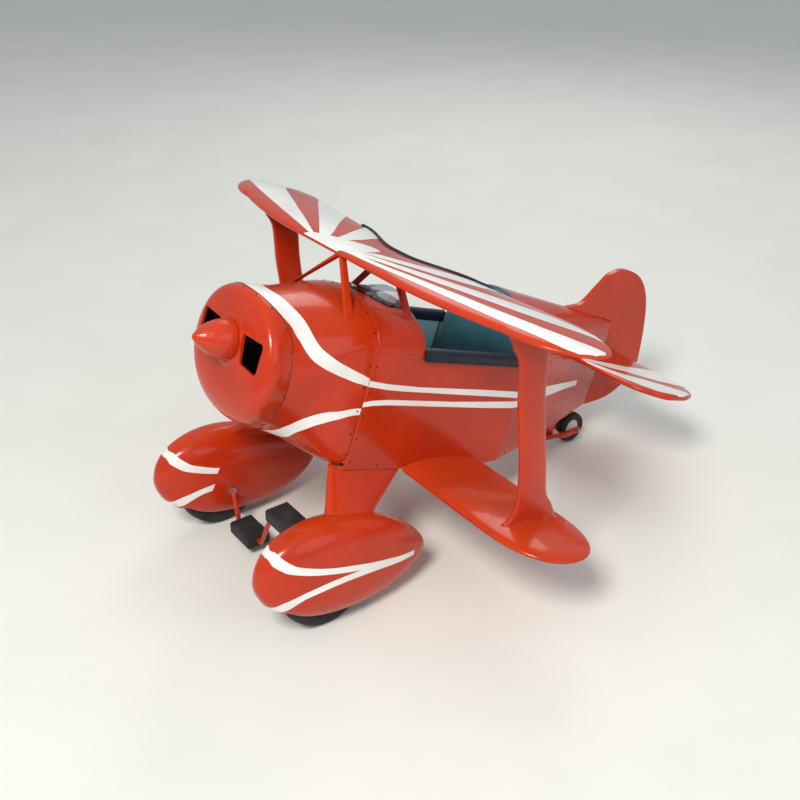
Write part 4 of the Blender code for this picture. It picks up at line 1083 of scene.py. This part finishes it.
def held(low, high):
    """Keeps a point inside a box of the fuselage's frame."""
    c, s = math.cos(FUSELAGE_PITCH), math.sin(FUSELAGE_PITCH)

    def keep(point):
        dy, dz = point.y - FUSELAGE_ORIGIN.y, point.z - FUSELAGE_ORIGIN.z
        local = (point.x, dy * c - dz * s, dy * s + dz * c)
        local = [min(max(v, a), b) for v, a, b in zip(local, low, high)]
        return body_at(*local)
    return keep


def make_seat():
    def head(half, rise, steps):
        return [(half * math.cos(a), rise * math.sin(a)) for a in spaced(0, math.pi, steps)]

    face = head(SEAT_HALF_WIDTH, SEAT_TOP, 40)
    face += [(-SEAT_HALF_WIDTH, SEAT_LOW), (SEAT_HALF_WIDTH, SEAT_LOW)]
    slab = plate(face, 0.0130, lambda u, v, w: body_at(u, COCKPIT_REAR - 0.0090 + w, v))
    swell("seat_back", slab, held((-SEAT_HALF_WIDTH - 0.002, COCKPIT_REAR - 0.0260, SEAT_LOW - 0.0025),
                                  (SEAT_HALF_WIDTH + 0.002, COCKPIT_REAR - 0.0005, SEAT_TOP + 0.0035)),
          0.007, 0.005, "teal", "seat_back_pad")
    half = SEAT_HALF_WIDTH + 0.001
    edge = rounded([(half, SEAT_LOW)] + head(half, SEAT_TOP + 0.001, 48) + [(-half, SEAT_LOW)], 0.004)
    path = [body_at(u, COCKPIT_REAR - 0.0170, v) for u, v in edge]
    add("seat_back_piping", tube(path + path[:1], WELT_RADIUS, 10, cap=False), "teal")
    half, front, rear = CUSHION_HALF_WIDTH, CUSHION_FRONT, CUSHION_REAR
    core, middle = half - 0.0005, (front + rear) / 2 - 0.0002
    block = plate([(-core, -0.1870), (core, -0.1870), (core, -0.1580), (-core, -0.1580)], 0.146,
                  lambda u, v, w: body_at(u, middle + w, v))
    swell("seat_pad", block, held((-half - 0.0045, front - 0.0055, -0.1893),
                                  (half + 0.0045, rear + 0.0033, -0.1450)),
          0.010, 0.006, "teal", "seat_cushion")
    rim = rounded([(-half, front), (half, front), (half, rear), (-half, rear)], 0.012, 6)
    path = [body_at(u, v, -0.1605) for u, v in rim]
    add("seat_pad_piping", tube(path + path[:1], WELT_RADIUS, 10, cap=False), "teal")


# ---------------------------------------------------------------- tail
def make_tail():
    ridge_line = [(s, ridge(s) - 0.0010) for s in (TAIL_POST - 0.004, 1.08, 1.00, 0.985)]
    curve = smooth_curve([(0.985, 0.095), (1.035, 0.110), (1.075, 0.158), (1.105, 0.192),
                          (1.155, 0.2067), (1.215, 0.193), (1.262, 0.150), (1.295, 0.080),
                          (1.3185, -0.005), (1.3215, -0.045), (1.300, -0.086), (1.250, -0.128),
                          (1.190, -0.150), (TAIL_POST + 0.004, -0.156)], 10)
    post = [(TAIL_POST - 0.0004, -0.150), (TAIL_POST - 0.0004, ridge(TAIL_POST) - 0.001)]
    fin = plate(curve + post + ridge_line, FIN_THICKNESS, lambda u, v, w: body_at(w, u, v))
    fin = painted("fin_and_rudder", fin, "fin_rudder", sharp=60.0)
    round_edges(fin, 0.0052, 5, 50.0)
    section = [(0.0, 0.15), (0.008, 0.50), (0.03, 0.82), (0.075, 0.97), (0.12, 1.0), (0.45, 1.0),
               (0.745, 1.0), (0.85, 0.88), (0.92, 0.70), (0.975, 0.40), (1.0, 0.15)]
    section += [(u, -v) for u, v in reversed(section)]
    rear = [(0.0885, 0.9845), (0.128, 0.998), (0.1545, 1.024), (0.176, 1.059), (0.2035, 1.0875),
            (0.229, 1.118), (0.248, 1.1575), (0.256, 1.230), (0.156, 1.230), (0.1485, 1.165),
            (0.139, 1.103), (0.1075, 1.018)]
    front = [(0.096, 0.985), (0.119, 0.983), (0.143, 0.984), (0.188, 0.9895), (0.2285, 0.999),
             (0.2645, 1.0135), (0.2955, 1.0345), (0.315, 1.070), (0.3185, 1.090), (0.3185, 1.130),
             (0.296, 1.147), (0.274, 1.1235), (0.246, 1.096), (0.2205, 1.0665), (0.198, 1.033),
             (0.169, 1.010), (0.136, 0.9945), (0.113, 0.9885)]
    for side, name in SIDES:
        rings = []
        for k in spaced(0, 12, 72):
            x = lerp(0.002, TAILPLANE_HALF_SPAN - 0.0012, 1 - (1 - k / 12) ** 1.5)
            lead, trail = tail_edges(x)
            chord = trail - lead
            half = TAILPLANE_HALF_THICKNESS * min(1.0, chord / 0.06) * (1 - 0.35 * smooth(k - 11))
            ring = []
            for u, v in section:
                station = lead + chord * u
                limit = side_half_width(station) + 0.0003 if station < TAIL_POST + 0.003 else 0.009
                ring.append(body_at(side * max(x, limit + 0.0004 * k), station,
                                    STABILIZER_HEIGHT + half * v))
            rings.append(ring)
        painted("tailplane_" + name, loft(rings), "stabilizer_" + name, sharp=50.0)

        def place(x, s):
            lead, trail = tail_edges(x)
            s = min(max(s, lead + 0.0004), trail - 0.0004)
            u = (s - lead) / (trail - lead)
            half = TAILPLANE_HALF_THICKNESS * min(1.0, (trail - lead) / 0.06)
            height = half * shape_at(section[:11], u)
            limit = side_half_width(s) + 0.0008 if s < TAIL_POST + 0.003 else 0.0094
            return body_at(side * max(x, limit), s, STABILIZER_HEIGHT + height + DECAL_LIFT)

        def off(x, s):
            lead, trail = tail_edges(x)
            return s < lead or s > trail or x > TAILPLANE_HALF_SPAN - 0.0014
        for label, outline in (("front", front), ("rear", rear)):
            decal("tailplane_stripe_%s_%s" % (label, name), [outline], place,
                  spaced(0.09, 0.318, 46), spaced(0.98, 1.23, 60), lambda p: Vector((0, 0, 1)), off)


def tail_edges(x):
    return tip_edges(x, 0.20, TAILPLANE_HALF_SPAN, 0.9775 + 0.02 * x, 1.2225 - 0.05 * x)


def shape_at(table, u):
    """A value read off a table of (place, value) by straight lines."""
    for (u0, v0), (u1, v1) in zip(table, table[1:]):
        if u <= u1:
            return lerp(v0, v1, (u - u0) / (u1 - u0))
    return table[-1][1]


# ---------------------------------------------------------------- wings and struts
def wing_rings(origin, edges, stations):
    upper = [0.5 - 0.5 * math.cos(math.pi * k / 40) for k in range(40, -1, -1)]
    lower = [0.5 - 0.5 * math.cos(math.pi * k / 26) for k in range(1, 27)]
    rings = []
    for x in stations:
        lead, trail = edges(x)
        chord = trail - lead
        ring = [(x, lead + chord * u, wing_surface(chord, u, 1)) for u in upper]
        ring += [(x, lead + chord * u, wing_surface(chord, u, -1)) for u in lower]
        rings.append([pitched(origin, WING_PITCH, *p) for p in ring])
    return rings


def tip_stations(start, end, count):
    """Places along a wing tip, closer together towards its end."""
    return [lerp(start, end, math.sin(math.pi / 2 * k / count)) for k in range(count + 1)]


def make_wings():
    side = spaced(0.0, TOP_TIP_START, 50)[1:] + tip_stations(TOP_TIP_START, TOP_HALF_SPAN, 30)[1:]
    stations = [-x for x in reversed(side)] + [0.0] + side
    painted("upper_wing", loft(wing_rings(TOP_WING_ORIGIN, top_wing_edges, stations)),
            "top_wing", sharp=70.0)
    path = []
    for k in range(161):
        x = lerp(-0.205, 0.235, k / 160)
        slope = (top_wing_edges(x + 0.001)[1] - top_wing_edges(x - 0.001)[1]) / 0.002
        along = top_wing_edges(x)[1] + EDGING_RADIUS * math.hypot(1.0, slope)
        path.append(pitched(TOP_WING_ORIGIN, WING_PITCH, x, along, 0.001))
    ends = lambda t: EDGING_RADIUS * (0.35 + 0.65 * smooth(min(t, 1 - t) / 0.008))
    add("cutout_edging", tube(path, ends, 14), "navy", stands_for="top_wing_trim")
    stations = spaced(BODY_HALF_WIDTH + 0.0002, LOWER_TIP_START, 34)
    stations += tip_stations(LOWER_TIP_START, LOWER_HALF_SPAN, 30)[1:]
    for sign, name in SIDES:
        rings = wing_rings(LOWER_WING_ORIGIN, lower_wing_edges, [sign * x for x in stations])
        painted("lower_wing_panel_" + name, loft(rings), "lower_wing_" + name, sharp=70.0)


def top_wing_stripes():
    """White rays: a wide burst on the right wing and three slim rays on the left, from one middle."""
    ahead_right = [(-0.128, 0.001), (-0.119, 0.009), (-0.147, 0.013), (-0.215, 0.025), (-0.290, 0.040),
                   (-0.376, 0.060), (-0.4755, 0.086), (-0.535, 0.106), (-0.584, 0.126)]
    tip_to_a = [(-0.584, 0.200), (-0.540, 0.240), (-0.487, 0.250), (-0.487, 0.1745)]
    a_left = [(-0.446, 0.152), (-0.279, 0.079), (-0.145, 0.026), (-0.1135, 0.015), (-0.101, 0.021)]
    ray_two = [(-0.2245, 0.0985), (-0.330, 0.166), (-0.415, 0.223), (-0.415, 0.250), (-0.275, 0.250),
               (-0.266, 0.202), (-0.177, 0.123), (-0.104, 0.059), (-0.078, 0.033), (-0.065, 0.043)]
    ray_three = [(-0.084, 0.0755), (-0.1355, 0.143), (-0.1815, 0.196), (-0.190, 0.230), (-0.099, 0.230),
                 (-0.096, 0.170), (-0.0575, 0.1035), (-0.0495, 0.082), (-0.044, 0.0535)]
    spike = [(-0.0405, 0.061), (-0.008, 0.0835), (0.010, 0.088), (0.029, 0.084), (0.0365, 0.0645),
             (0.0365, 0.040)]
    rear_ray = [(0.043, 0.054), (0.055, 0.065), (0.121, 0.1045), (0.146, 0.131), (0.170, 0.160),
                (0.210, 0.230), (0.270, 0.230), (0.260, 0.185), (0.252, 0.157), (0.231, 0.129),
                (0.188, 0.0965), (0.1525, 0.080), (0.1165, 0.0635), (0.080, 0.049), (0.0515, 0.040),
                (0.030, 0.033)]
    middle_ray = [(0.0555, 0.038), (0.0855, 0.0455), (0.127, 0.0555), (0.168, 0.069), (0.2035, 0.0835),
                  (0.239, 0.099), (0.272, 0.1155), (0.395, 0.186), (0.435, 0.201), (0.480, 0.216),
                  (0.540, 0.240), (0.560, 0.230), (0.530, 0.212), (0.5135, 0.200), (0.494, 0.179),
                  (0.470, 0.157), (0.442, 0.139), (0.377, 0.1115), (0.306, 0.086), (0.2315, 0.061),
                  (0.1905, 0.050), (0.147, 0.0405), (0.089, 0.029), (0.058, 0.021)]
    front_ray = [(0.077, 0.023), (0.1125, 0.026), (0.1585, 0.032), (0.2465, 0.049), (0.3675, 0.076),
                 (0.4755, 0.106), (0.5065, 0.1195), (0.536, 0.1345), (0.561, 0.154), (0.574, 0.164),
                 (0.5815, 0.156), (0.582, 0.133), (0.568, 0.105), (0.5525, 0.0925), (0.541, 0.0865),
                 (0.525, 0.0805), (0.491, 0.071), (0.377, 0.0475), (0.293, 0.0335), (0.200, 0.0223),
                 (0.151, 0.017), (0.0735, 0.012), (0.0345, 0.0105), (0.016, 0.0087), (0, 0.0068),
                 (-0.004, 0.001)]
    outline = ahead_right + tip_to_a + a_left + ray_two + ray_three + spike + rear_ray \
        + middle_ray + front_ray
    outline = [(x, s - top_wing_edges(x)[0]) for x, s in densified(outline, 0.008)]

    def place(x, behind):
        lead, trail = top_wing_edges(x)
        along = min(max(lead + behind, lead + 0.0003), trail - 0.0006)
        return wing_point(TOP_WING_ORIGIN, top_wing_edges, x, along, 1, DECAL_LIFT)

    def off(x, behind):
        lead, trail = top_wing_edges(x)
        return behind > trail - lead or abs(x) > TOP_HALF_SPAN - 0.001
    tip = tip_stations(TOP_TIP_START, TOP_HALF_SPAN, 24)
    across = [-x for x in tip] + spaced(-0.43, 0.43, 80) + tip
    decal("upper_wing_rays", [outline], place, across,
          [0.0008, 0.0016, 0.003, 0.005, 0.008, 0.012] + spaced(0.017, 0.245, 38),
          lambda p: Vector((0, 0, 1)), off)


def oval(centre_x, front, rear, half, count=48):
    points = []
    for turn in full_turn(count):
        y = (front + rear) / 2 - (rear - front) / 2 * signed_power(math.cos(turn), 0.8)
        points.append((centre_x + half * signed_power(math.sin(turn), 0.6), y))
    return points


def on_wing(origin, edges, x, y, side, clearance):
    along = (y - origin.y) / math.cos(WING_PITCH)
    return wing_point(origin, edges, x, along, side, clearance)


def make_struts():
    dy = SHIFT.y
    levels = smooth_curve([(0.245, -0.205, -0.099), (0.275, -0.191, -0.114), (0.34, -0.188, -0.121),
                           (0.42, -0.194, -0.130), (0.50, -0.203, -0.138), (0.580, -0.207, -0.137),
                           (0.612, -0.221, -0.125)], 5)
    for side, name in SIDES:
        x = side * STRUT_X
        foot = [on_wing(LOWER_WING_ORIGIN, lower_wing_edges, px, y, 1, -0.0006)
                for px, y in oval(x, -0.231 + dy, -0.079 + dy, STRUT_HALF_WIDTH)]
        head = [on_wing(TOP_WING_ORIGIN, top_wing_edges, px, y, -1, -0.0006)
                for px, y in oval(x, -0.239 + dy, -0.101 + dy, STRUT_HALF_WIDTH)]
        rings = [foot]
        rings += [[(px, py, z) for px, py in oval(x, a + dy, b + dy, STRUT_HALF_WIDTH)]
                  for z, a, b in levels]
        painted("wing_strut_" + name, loft(rings + [head], strips=True),
                "interplane_strut_" + name, sharp=60.0)
    feet = {"front": (0.108, 0.262), "rear": (0.106, 0.414)}
    heads = {"front": (0.0090, 0.7), "rear": (0.128, 1.0)}
    section = [(CABANE_HALF_DEPTH * signed_power(math.cos(a), 0.7),
                CABANE_HALF_WIDTH * signed_power(math.sin(a), 0.7)) for a in full_turn(32)]
    for place, (x, station) in feet.items():
        for side, name in SIDES:
            head_y, taper = TOP_WING_ORIGIN.y + heads[place][0], heads[place][1]
            foot, head = [], []
            for along, across in section:
                px, ps = side * x + across, station + along
                foot.append(body_at(px, ps, deck_height(ps, px) - 0.0012))
                head.append(on_wing(TOP_WING_ORIGIN, top_wing_edges, side * 0.0060 + across,
                                    head_y + along * taper, -1, -0.0006))
            rings = [[f.lerp(h, t) for f, h in zip(foot, head)] for t in spaced(0, 1, 12)]
            painted("centre_strut_%s_%s" % (place, name), loft(rings, strips=True),
                    "cabane_%s_%s" % (place, name), sharp=60.0)


# ---------------------------------------------------------------- undercarriage and drive
def make_pants():
    turns = even_turns(lambda a: pant_at(0.02, a), 112)
    front = [-PANT_NOSE * math.cos(math.pi / 2 * k / 34) for k in range(34)]
    front[0] = -PANT_NOSE * 0.9996
    rear = [PANT_TAIL * (k / 40) ** 0.95 for k in range(40)] + [PANT_TAIL * 0.985, PANT_TAIL * 0.998]
    inner = [s for s in front + rear if -0.152 < s < 0.222]
    # across, along and height; the upper and lower stripes run together towards the tail
    upper_top = [(0, -0.1385, 0.060), (0.012, -0.1345, 0.0565), (0.0265, -0.127, 0.052),
                 (0.037, -0.112, 0.0435), (0.0435, -0.095, 0.037), (0.0505, -0.0575, 0.0305),
                 (0.054, -0.0175, 0.026), (0.054, 0.0255, 0.0225), (0.052, 0.072, 0.018),
                 (0.0465, 0.1215, 0.014), (0.042, 0.149, 0.011), (0.036, 0.177, 0.0095),
                 (0.030, 0.1975, 0.009)]
    upper_low = [(0, -0.149, 0.0455), (0.003, -0.1485, 0.046), (0.014, -0.1465, 0.043),
                 (0.0235, -0.1425, 0.037), (0.0335, -0.1275, 0.029), (0.040, -0.1105, 0.023),
                 (0.0485, -0.075, 0.018), (0.0535, -0.0365, 0.0145), (0.0555, 0.0055, 0.011),
                 (0.0545, 0.045, 0.0075)]
    lower_top = [(0, -0.144, -0.054), (0.010, -0.139, -0.053), (0.023, -0.1285, -0.048),
                 (0.0345, -0.1165, -0.041), (0.0415, -0.102, -0.0335), (0.046, -0.086, -0.025),
                 (0.0495, -0.069, -0.0175), (0.054, -0.033, -0.0055), (0.0555, 0.007, 0.003),
                 (0.0545, 0.045, 0.0075)]
    lower_low = [(0, -0.139, -0.062), (0.006, -0.133, -0.0625), (0.018, -0.119, -0.062),
                 (0.026, -0.109, -0.061), (0.0375, -0.0965, -0.052), (0.045, -0.083, -0.0415),
                 (0.049, -0.0665, -0.0315), (0.0535, -0.030, -0.0195), (0.055, 0.010, -0.011),
                 (0.054, 0.053, -0.006), (0.050, 0.100, -0.0035), (0.0415, 0.1525, -0.0035),
                 (0.0355, 0.1805, -0.003), (0.030, 0.199, -0.0025)]
    angles = lambda line: smooth_curve([(s, math.atan2(h, x)) for x, s, h in line], 4)
    outline = angles(upper_top) + angles(lower_low)[::-1] + angles(lower_top) + angles(upper_low)[::-1]

    def short(line, end):
        kept = [p for p in line if p[1] < end]
        after = [p for p in line if p[1] >= end][0]
        t = (end - kept[-1][1]) / (after[1] - kept[-1][1])
        return kept + [tuple(lerp(a, b, t) for a, b in zip(kept[-1], after))]
    stubs = [angles(short(upper_top, -0.038)) + angles(short(upper_low, -0.042))[::-1],
             angles(short(lower_top, -0.044)) + angles(short(lower_low, -0.048))[::-1]]
    for side, name in SIDES:
        put = lambda p: pant_frame(side, *p)
        pant = painted("wheel_fairing_" + name,
                       loft([[put(pant_at(s, a)) for a in turns] for s in front + rear]),
                       "wheel_pant_" + name)
        hollow = loft([[put(pant_at(s, a, SKIN)) for a in turns[::2]] for s in inner[::2] + inner[-1:]])
        mouth = [(-0.034, -0.105), (0.034, -0.105), (0.034, 0.115), (-0.034, 0.115)]
        mouth = plate(rounded(mouth, 0.022, 8), 0.11, lambda u, v, w: pant_frame(side, u, v, -0.075 + w))
        bore = loft([circle((side * x, AXLE.y, AXLE.z), 0.0112, 32) for x in (0.12, 0.18)])
        carve(pant, [hollow, mouth, bore])
        cuts = (spaced(-0.150, 0.200, 58), [math.radians(d) for d in range(-88, 92, 4)])
        for way, label, outlines in ((side, "", [outline]), (-side, "inner_", stubs)):
            def place(s, a):
                x, along, height = pant_at(s, a, -DECAL_LIFT)
                return pant_frame(side, way * x, along, height)
            decal("fairing_stripe_" + label + name, outlines, place, *cuts, lambda p: Vector((way, 0, 0)))


def make_legs():
    count = 56
    for side, name in SIDES:
        root, foot = [], []
        for turn in full_turn(count):
            along, across = signed_power(math.cos(turn), 0.8), signed_power(math.sin(turn), 0.7)
            station = 0.3845 + 0.094 * along
            half = min(BODY_HALF_WIDTH, nose_section(min(station, BODY_SEAM))[0])
            x = half - 0.0175 + 0.015 * across
            root.append(body_at(side * x, station, nose_bottom(station, half - 0.040) + 0.0012))
            x, place = -0.020 + 0.014 * across, 0.050 + 0.058 * along
            foot.append(pant_frame(side, side * x, place, pant_top(x, place) - 0.0012))
        rings = []
        for t in spaced(0, 1, 22):
            flare = 1 + 0.16 * smooth((t - 0.88) / 0.12)
            ring = [a.lerp(b, t) for a, b in zip(root, foot)]
            centre = sum(ring, Vector()) / count
            rings.append([Vector((centre.x + (p.x - centre.x) * flare, p.y, p.z)) for p in ring])
        painted("wheel_leg_" + name, loft(rings, strips=True), "gear_leg_" + name, sharp=60.0)


def make_wheels():
    half, bead, crown = TIRE_WIDTH / 2, BEAD_RADIUS, WHEEL_RADIUS
    outer = [(half * 0.72, bead), (half * 0.93, bead + 0.003), (half, bead + 0.010),
             (half, crown - 0.012), (half * 0.93, crown - 0.0055), (half * 0.66, crown - 0.0025)]
    flat = [(half * 0.66 * t, crown - 0.0025 * t * t) for t in spaced(1, -1, 28)[1:]]
    profile = outer + flat + [(-x, r) for x, r in reversed(outer[:-1])]

    def tread(along, radius, turn):
        if radius < crown - 0.0052 or abs(along) > half * 0.9:
            rib = math.sin(turn * 90) if crown - 0.0125 < radius < crown - 0.0115 else 0.0
            return radius + 0.0002 * rib
        groove = any(abs(abs(along) - c) < 0.0011 for c in (0.0, 0.0082))
        block = (turn / (2 * math.pi) * TREAD_BLOCKS + (0.5 if abs(along) > 0.0082 else 0.0)
                 + abs(along) * 22) % 1.0
        return radius - (0.0016 if groove or block < 0.16 else 0.0)

    for side, name in SIDES:
        centre = Vector((side * WHEEL_X, AXLE.y, AXLE.z))
        body = "left_wheel" if side > 0 else "crank"
        add("tyre_" + name, revolve(profile, centre, 324, shape=tread), "rubber",
            body, "main_tire_" + name, sharp=30.0)
        bore = ROD_RADIUS + 0.0002
        dish = [(-0.020, bore), (-0.020, 0.0125), (-0.0192, 0.014), (-0.006, 0.016), (-0.0052, 0.018),
                (-0.005, 0.052), (-0.0060, 0.054), (-0.0150, 0.0575), (-0.0155, 0.0590),
                (-0.0155, bead - GAP)]
        add("wheel_rim_" + name, revolve(mirrored(dish), centre, 96), "enamel", body,
            "main_rim_" + name, sharp=35.0)


def make_crank():
    corners = [(-WHEEL_X - AXLE_END, 0), (-CRANK_BEND, 0), (-PIN_OUTER, -CRANK_THROW),
               (-PIN_INNER, -CRANK_THROW), (PIN_INNER, CRANK_THROW), (PIN_OUTER, CRANK_THROW),
               (CRANK_BEND, 0), (WHEEL_X + AXLE_END, 0)]
    path = filleted([(x, AXLE.y, AXLE.z + z) for x, z in corners], 0.0085, 10)
    add("crank_rod", tube(path, ROD_RADIUS, 28), "red", "crank", "crank_axle")
    for side, name in SIDES:
        middle = side * (PIN_INNER + PIN_OUTER) / 2
        height = AXLE.z + side * CRANK_THROW
        depth, rise = PEDAL_HALF_DEPTH, PEDAL_HALF_HEIGHT
        top = []
        for start in spaced(0.0255, -0.0255, PEDAL_RIBS - 1):
            for u, v in ((0.0, -0.0018), (0.0009, -0.0004), (0.0020, 0.0), (0.0052, 0.0),
                         (0.0063, -0.0004), (0.0072, -0.0018)):
                if start - u > -0.0262:
                    top.append((start - u, rise + v))
        tread = [(depth, -0.0095), (depth, 0.0095), (depth - 0.0006, 0.0112)] + top[1:-1]
        tread += [(0.0006 - depth, 0.0112)]
        outline = tread + [(-u, -v) for u, v in tread]
        outline = list(dict.fromkeys(outline))
        rings = []
        ends = [(PEDAL_HALF_LENGTH - 0.0018, 1.0), (PEDAL_HALF_LENGTH - 0.0006, 0.985),
                (PEDAL_HALF_LENGTH, 0.965)]
        for w, k in [(-w, k) for w, k in reversed(ends)] + ends:
            rings.append([Vector((middle + w, AXLE.y + u * k, height + v * k)) for u, v in outline])
        pedal = add("pedal_block_" + name, loft(rings), "rubber",
                    name + "_pedal", "pedal_" + name, sharp=25.0)
        bore = loft([circle((middle + w, AXLE.y, height), 0.0060, 32) for w in (-0.06, 0.06)])
        carve(pedal, [bore], 25.0)


# ---------------------------------------------------------------- steering and tail wheel
def make_small_parts():
    grip = [(-0.137, 0.0073), (-0.137, 0.0115), (-0.1355, 0.0130)]
    for k in range(60):
        z = lerp(-0.133, -0.053, k / 59)
        body = shape_at([(-0.137, 0.0130), (-0.120, 0.0146), (-0.098, 0.0139), (-0.075, 0.0133),
                         (-0.060, 0.0146), (-0.050, 0.0153)], z)
        grip.append((z, body + 0.0005 * math.sin(z * 2 * math.pi / 0.0054)))
    grip += [(-0.0500, 0.0150), (-0.0470, 0.0130), (-0.046, 0.0110), (-0.046, 0.0073)]
    rings = [circle((0, STICK_STATION, z), r, 48, "Z") for z, r in grip]
    add("handle_grip", loft(on_body(rings), closed=True), "rubber", "stick", "stick_grip")
    half, crown = 0.0135, TAIL_WHEEL_RADIUS
    outer = [(half * 0.7, 0.022), (half * 0.92, 0.0235), (half, 0.027), (half, 0.034),
             (half * 0.85, 0.0375), (half * 0.55, 0.0392), (half * 0.25, 0.0398), (0.0010, crown),
             (0.0006, crown - 0.0008)]
    add("small_tyre", revolve(mirrored(outer), TAIL_AXLE, 96), "rubber", "tail_wheel",
        "tail_tire", sharp=40.0)
    hub = [(-0.017, 0.0033), (-0.017, 0.0072), (-0.0162, 0.008), (-0.009, 0.0095), (-0.0084, 0.0110),
           (-0.0084, 0.0190), (-0.009, 0.0205), (-0.009, 0.0217)]
    add("small_hub", revolve(mirrored(hub), TAIL_AXLE, 72), "enamel", "tail_wheel", "tail_hub",
        sharp=35.0)


def finish_cad_nodes():
    """The frame's own pieces that stay in sight get a finish and softened edges."""
    plan = {"wood": ("front_former", "gear_beam", "stick_beam", "seat_pan"),
            "primer": ("firewall",), "teal": ("rear_former",),
            "steel": ("spinner_shaft", "axle_bush_left", "axle_bush_right", "axle_collar_left",
                      "axle_collar_right", "tail_axle", "control_stick", "tube_bearing_front",
                      "tube_bearing_rear", "drag_link"),
            "red": ("belly_pan", "tail_bracket", "tail_fork"),
            # the liners take the painted sunlit teal
            "sunlit_teal": ("liner_left", "liner_right")}
    widths = {"wood": 0.0008, "primer": 0.0008, "teal": 0.0012, "steel": 0.0004, "red": 0.0010,
              "sunlit_teal": 0.0010}
    for key, names in plan.items():
        for name in names:
            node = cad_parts[name]
            node.data.materials.clear()
            node.data.materials.append(MATERIAL[key])
            round_edges(node, widths[key], 2, 40.0)


# ---------------------------------------------------------------- room, light and camera
def make_room():
    bm = bmesh.new()
    bmesh.ops.create_grid(bm, x_segments=8, y_segments=8, size=24.0)
    mesh = bpy.data.meshes.new("floor")
    bm.to_mesh(mesh)
    bm.free()
    mesh.materials.append(MATERIAL["floor"])
    floor = bpy.data.objects.new("floor", mesh)
    floor.location.z = -0.0004
    bpy.context.collection.objects.link(floor)
    world = bpy.data.worlds.new("studio")
    world.use_nodes = True
    world.node_tree.nodes["Background"].inputs["Color"].default_value = (0.90, 0.94, 1.0, 1.0)
    world.node_tree.nodes["Background"].inputs["Strength"].default_value = 0.46
    bpy.context.scene.world = world
    lamps = (("key", (1.9, -3.0, 3.9), 1.4, 195.0, (1.0, 0.96, 0.90)),
             ("fill", (3.6, 0.4, 2.2), 3.0, 26.0, (0.93, 0.96, 1.0)),
             ("back", (-2.4, 2.6, 3.2), 2.6, 42.0, (1.0, 0.98, 0.95)))
    for name, place, size, power, colour in lamps:
        lamp = bpy.data.lights.new(name, "AREA")
        lamp.shape, lamp.size, lamp.energy, lamp.color = "DISK", size, power, colour
        obj = bpy.data.objects.new(name, lamp)
        obj.location = place
        aim = Vector((0.0, 0.0, 0.35)) - Vector(place)
        obj.rotation_euler = aim.to_track_quat("-Z", "Y").to_euler()
        bpy.context.collection.objects.link(obj)


def make_camera():
    azimuth, elevation, roll = math.radians(53.55), math.radians(29.20), math.radians(0.39)
    distance, target = 2.2956, Vector((0.0435, -0.1732, 0.3254))
    back = Vector((math.sin(azimuth) * math.cos(elevation), -math.cos(azimuth) * math.cos(elevation),
                   math.sin(elevation)))
    level = Vector((0, 0, 1)).cross(back).normalized()
    up = back.cross(level)
    right = level * math.cos(roll) + up * math.sin(roll)
    over = -level * math.sin(roll) + up * math.cos(roll)
    camera = bpy.data.cameras.new("camera")
    camera.lens, camera.sensor_width = 47.907, 36.0
    obj = bpy.data.objects.new("camera", camera)
    pose = Matrix((right, over, back)).transposed().to_4x4()
    pose.translation = target + back * distance
    obj.matrix_world = pose
    bpy.context.collection.objects.link(obj)
    bpy.context.scene.camera = obj


make_cowl()
make_spinner()
make_nose()
nose_stripes()
make_sides()
make_decks()
make_rails()
make_windscreen()
make_seat()
make_tail()
make_wings()
top_wing_stripes()
make_struts()
make_pants()
make_legs()
make_wheels()
make_crank()
make_small_parts()
finish_cad_nodes()
make_room()
make_camera()
bpy.context.scene.view_settings.view_transform = "Standard"
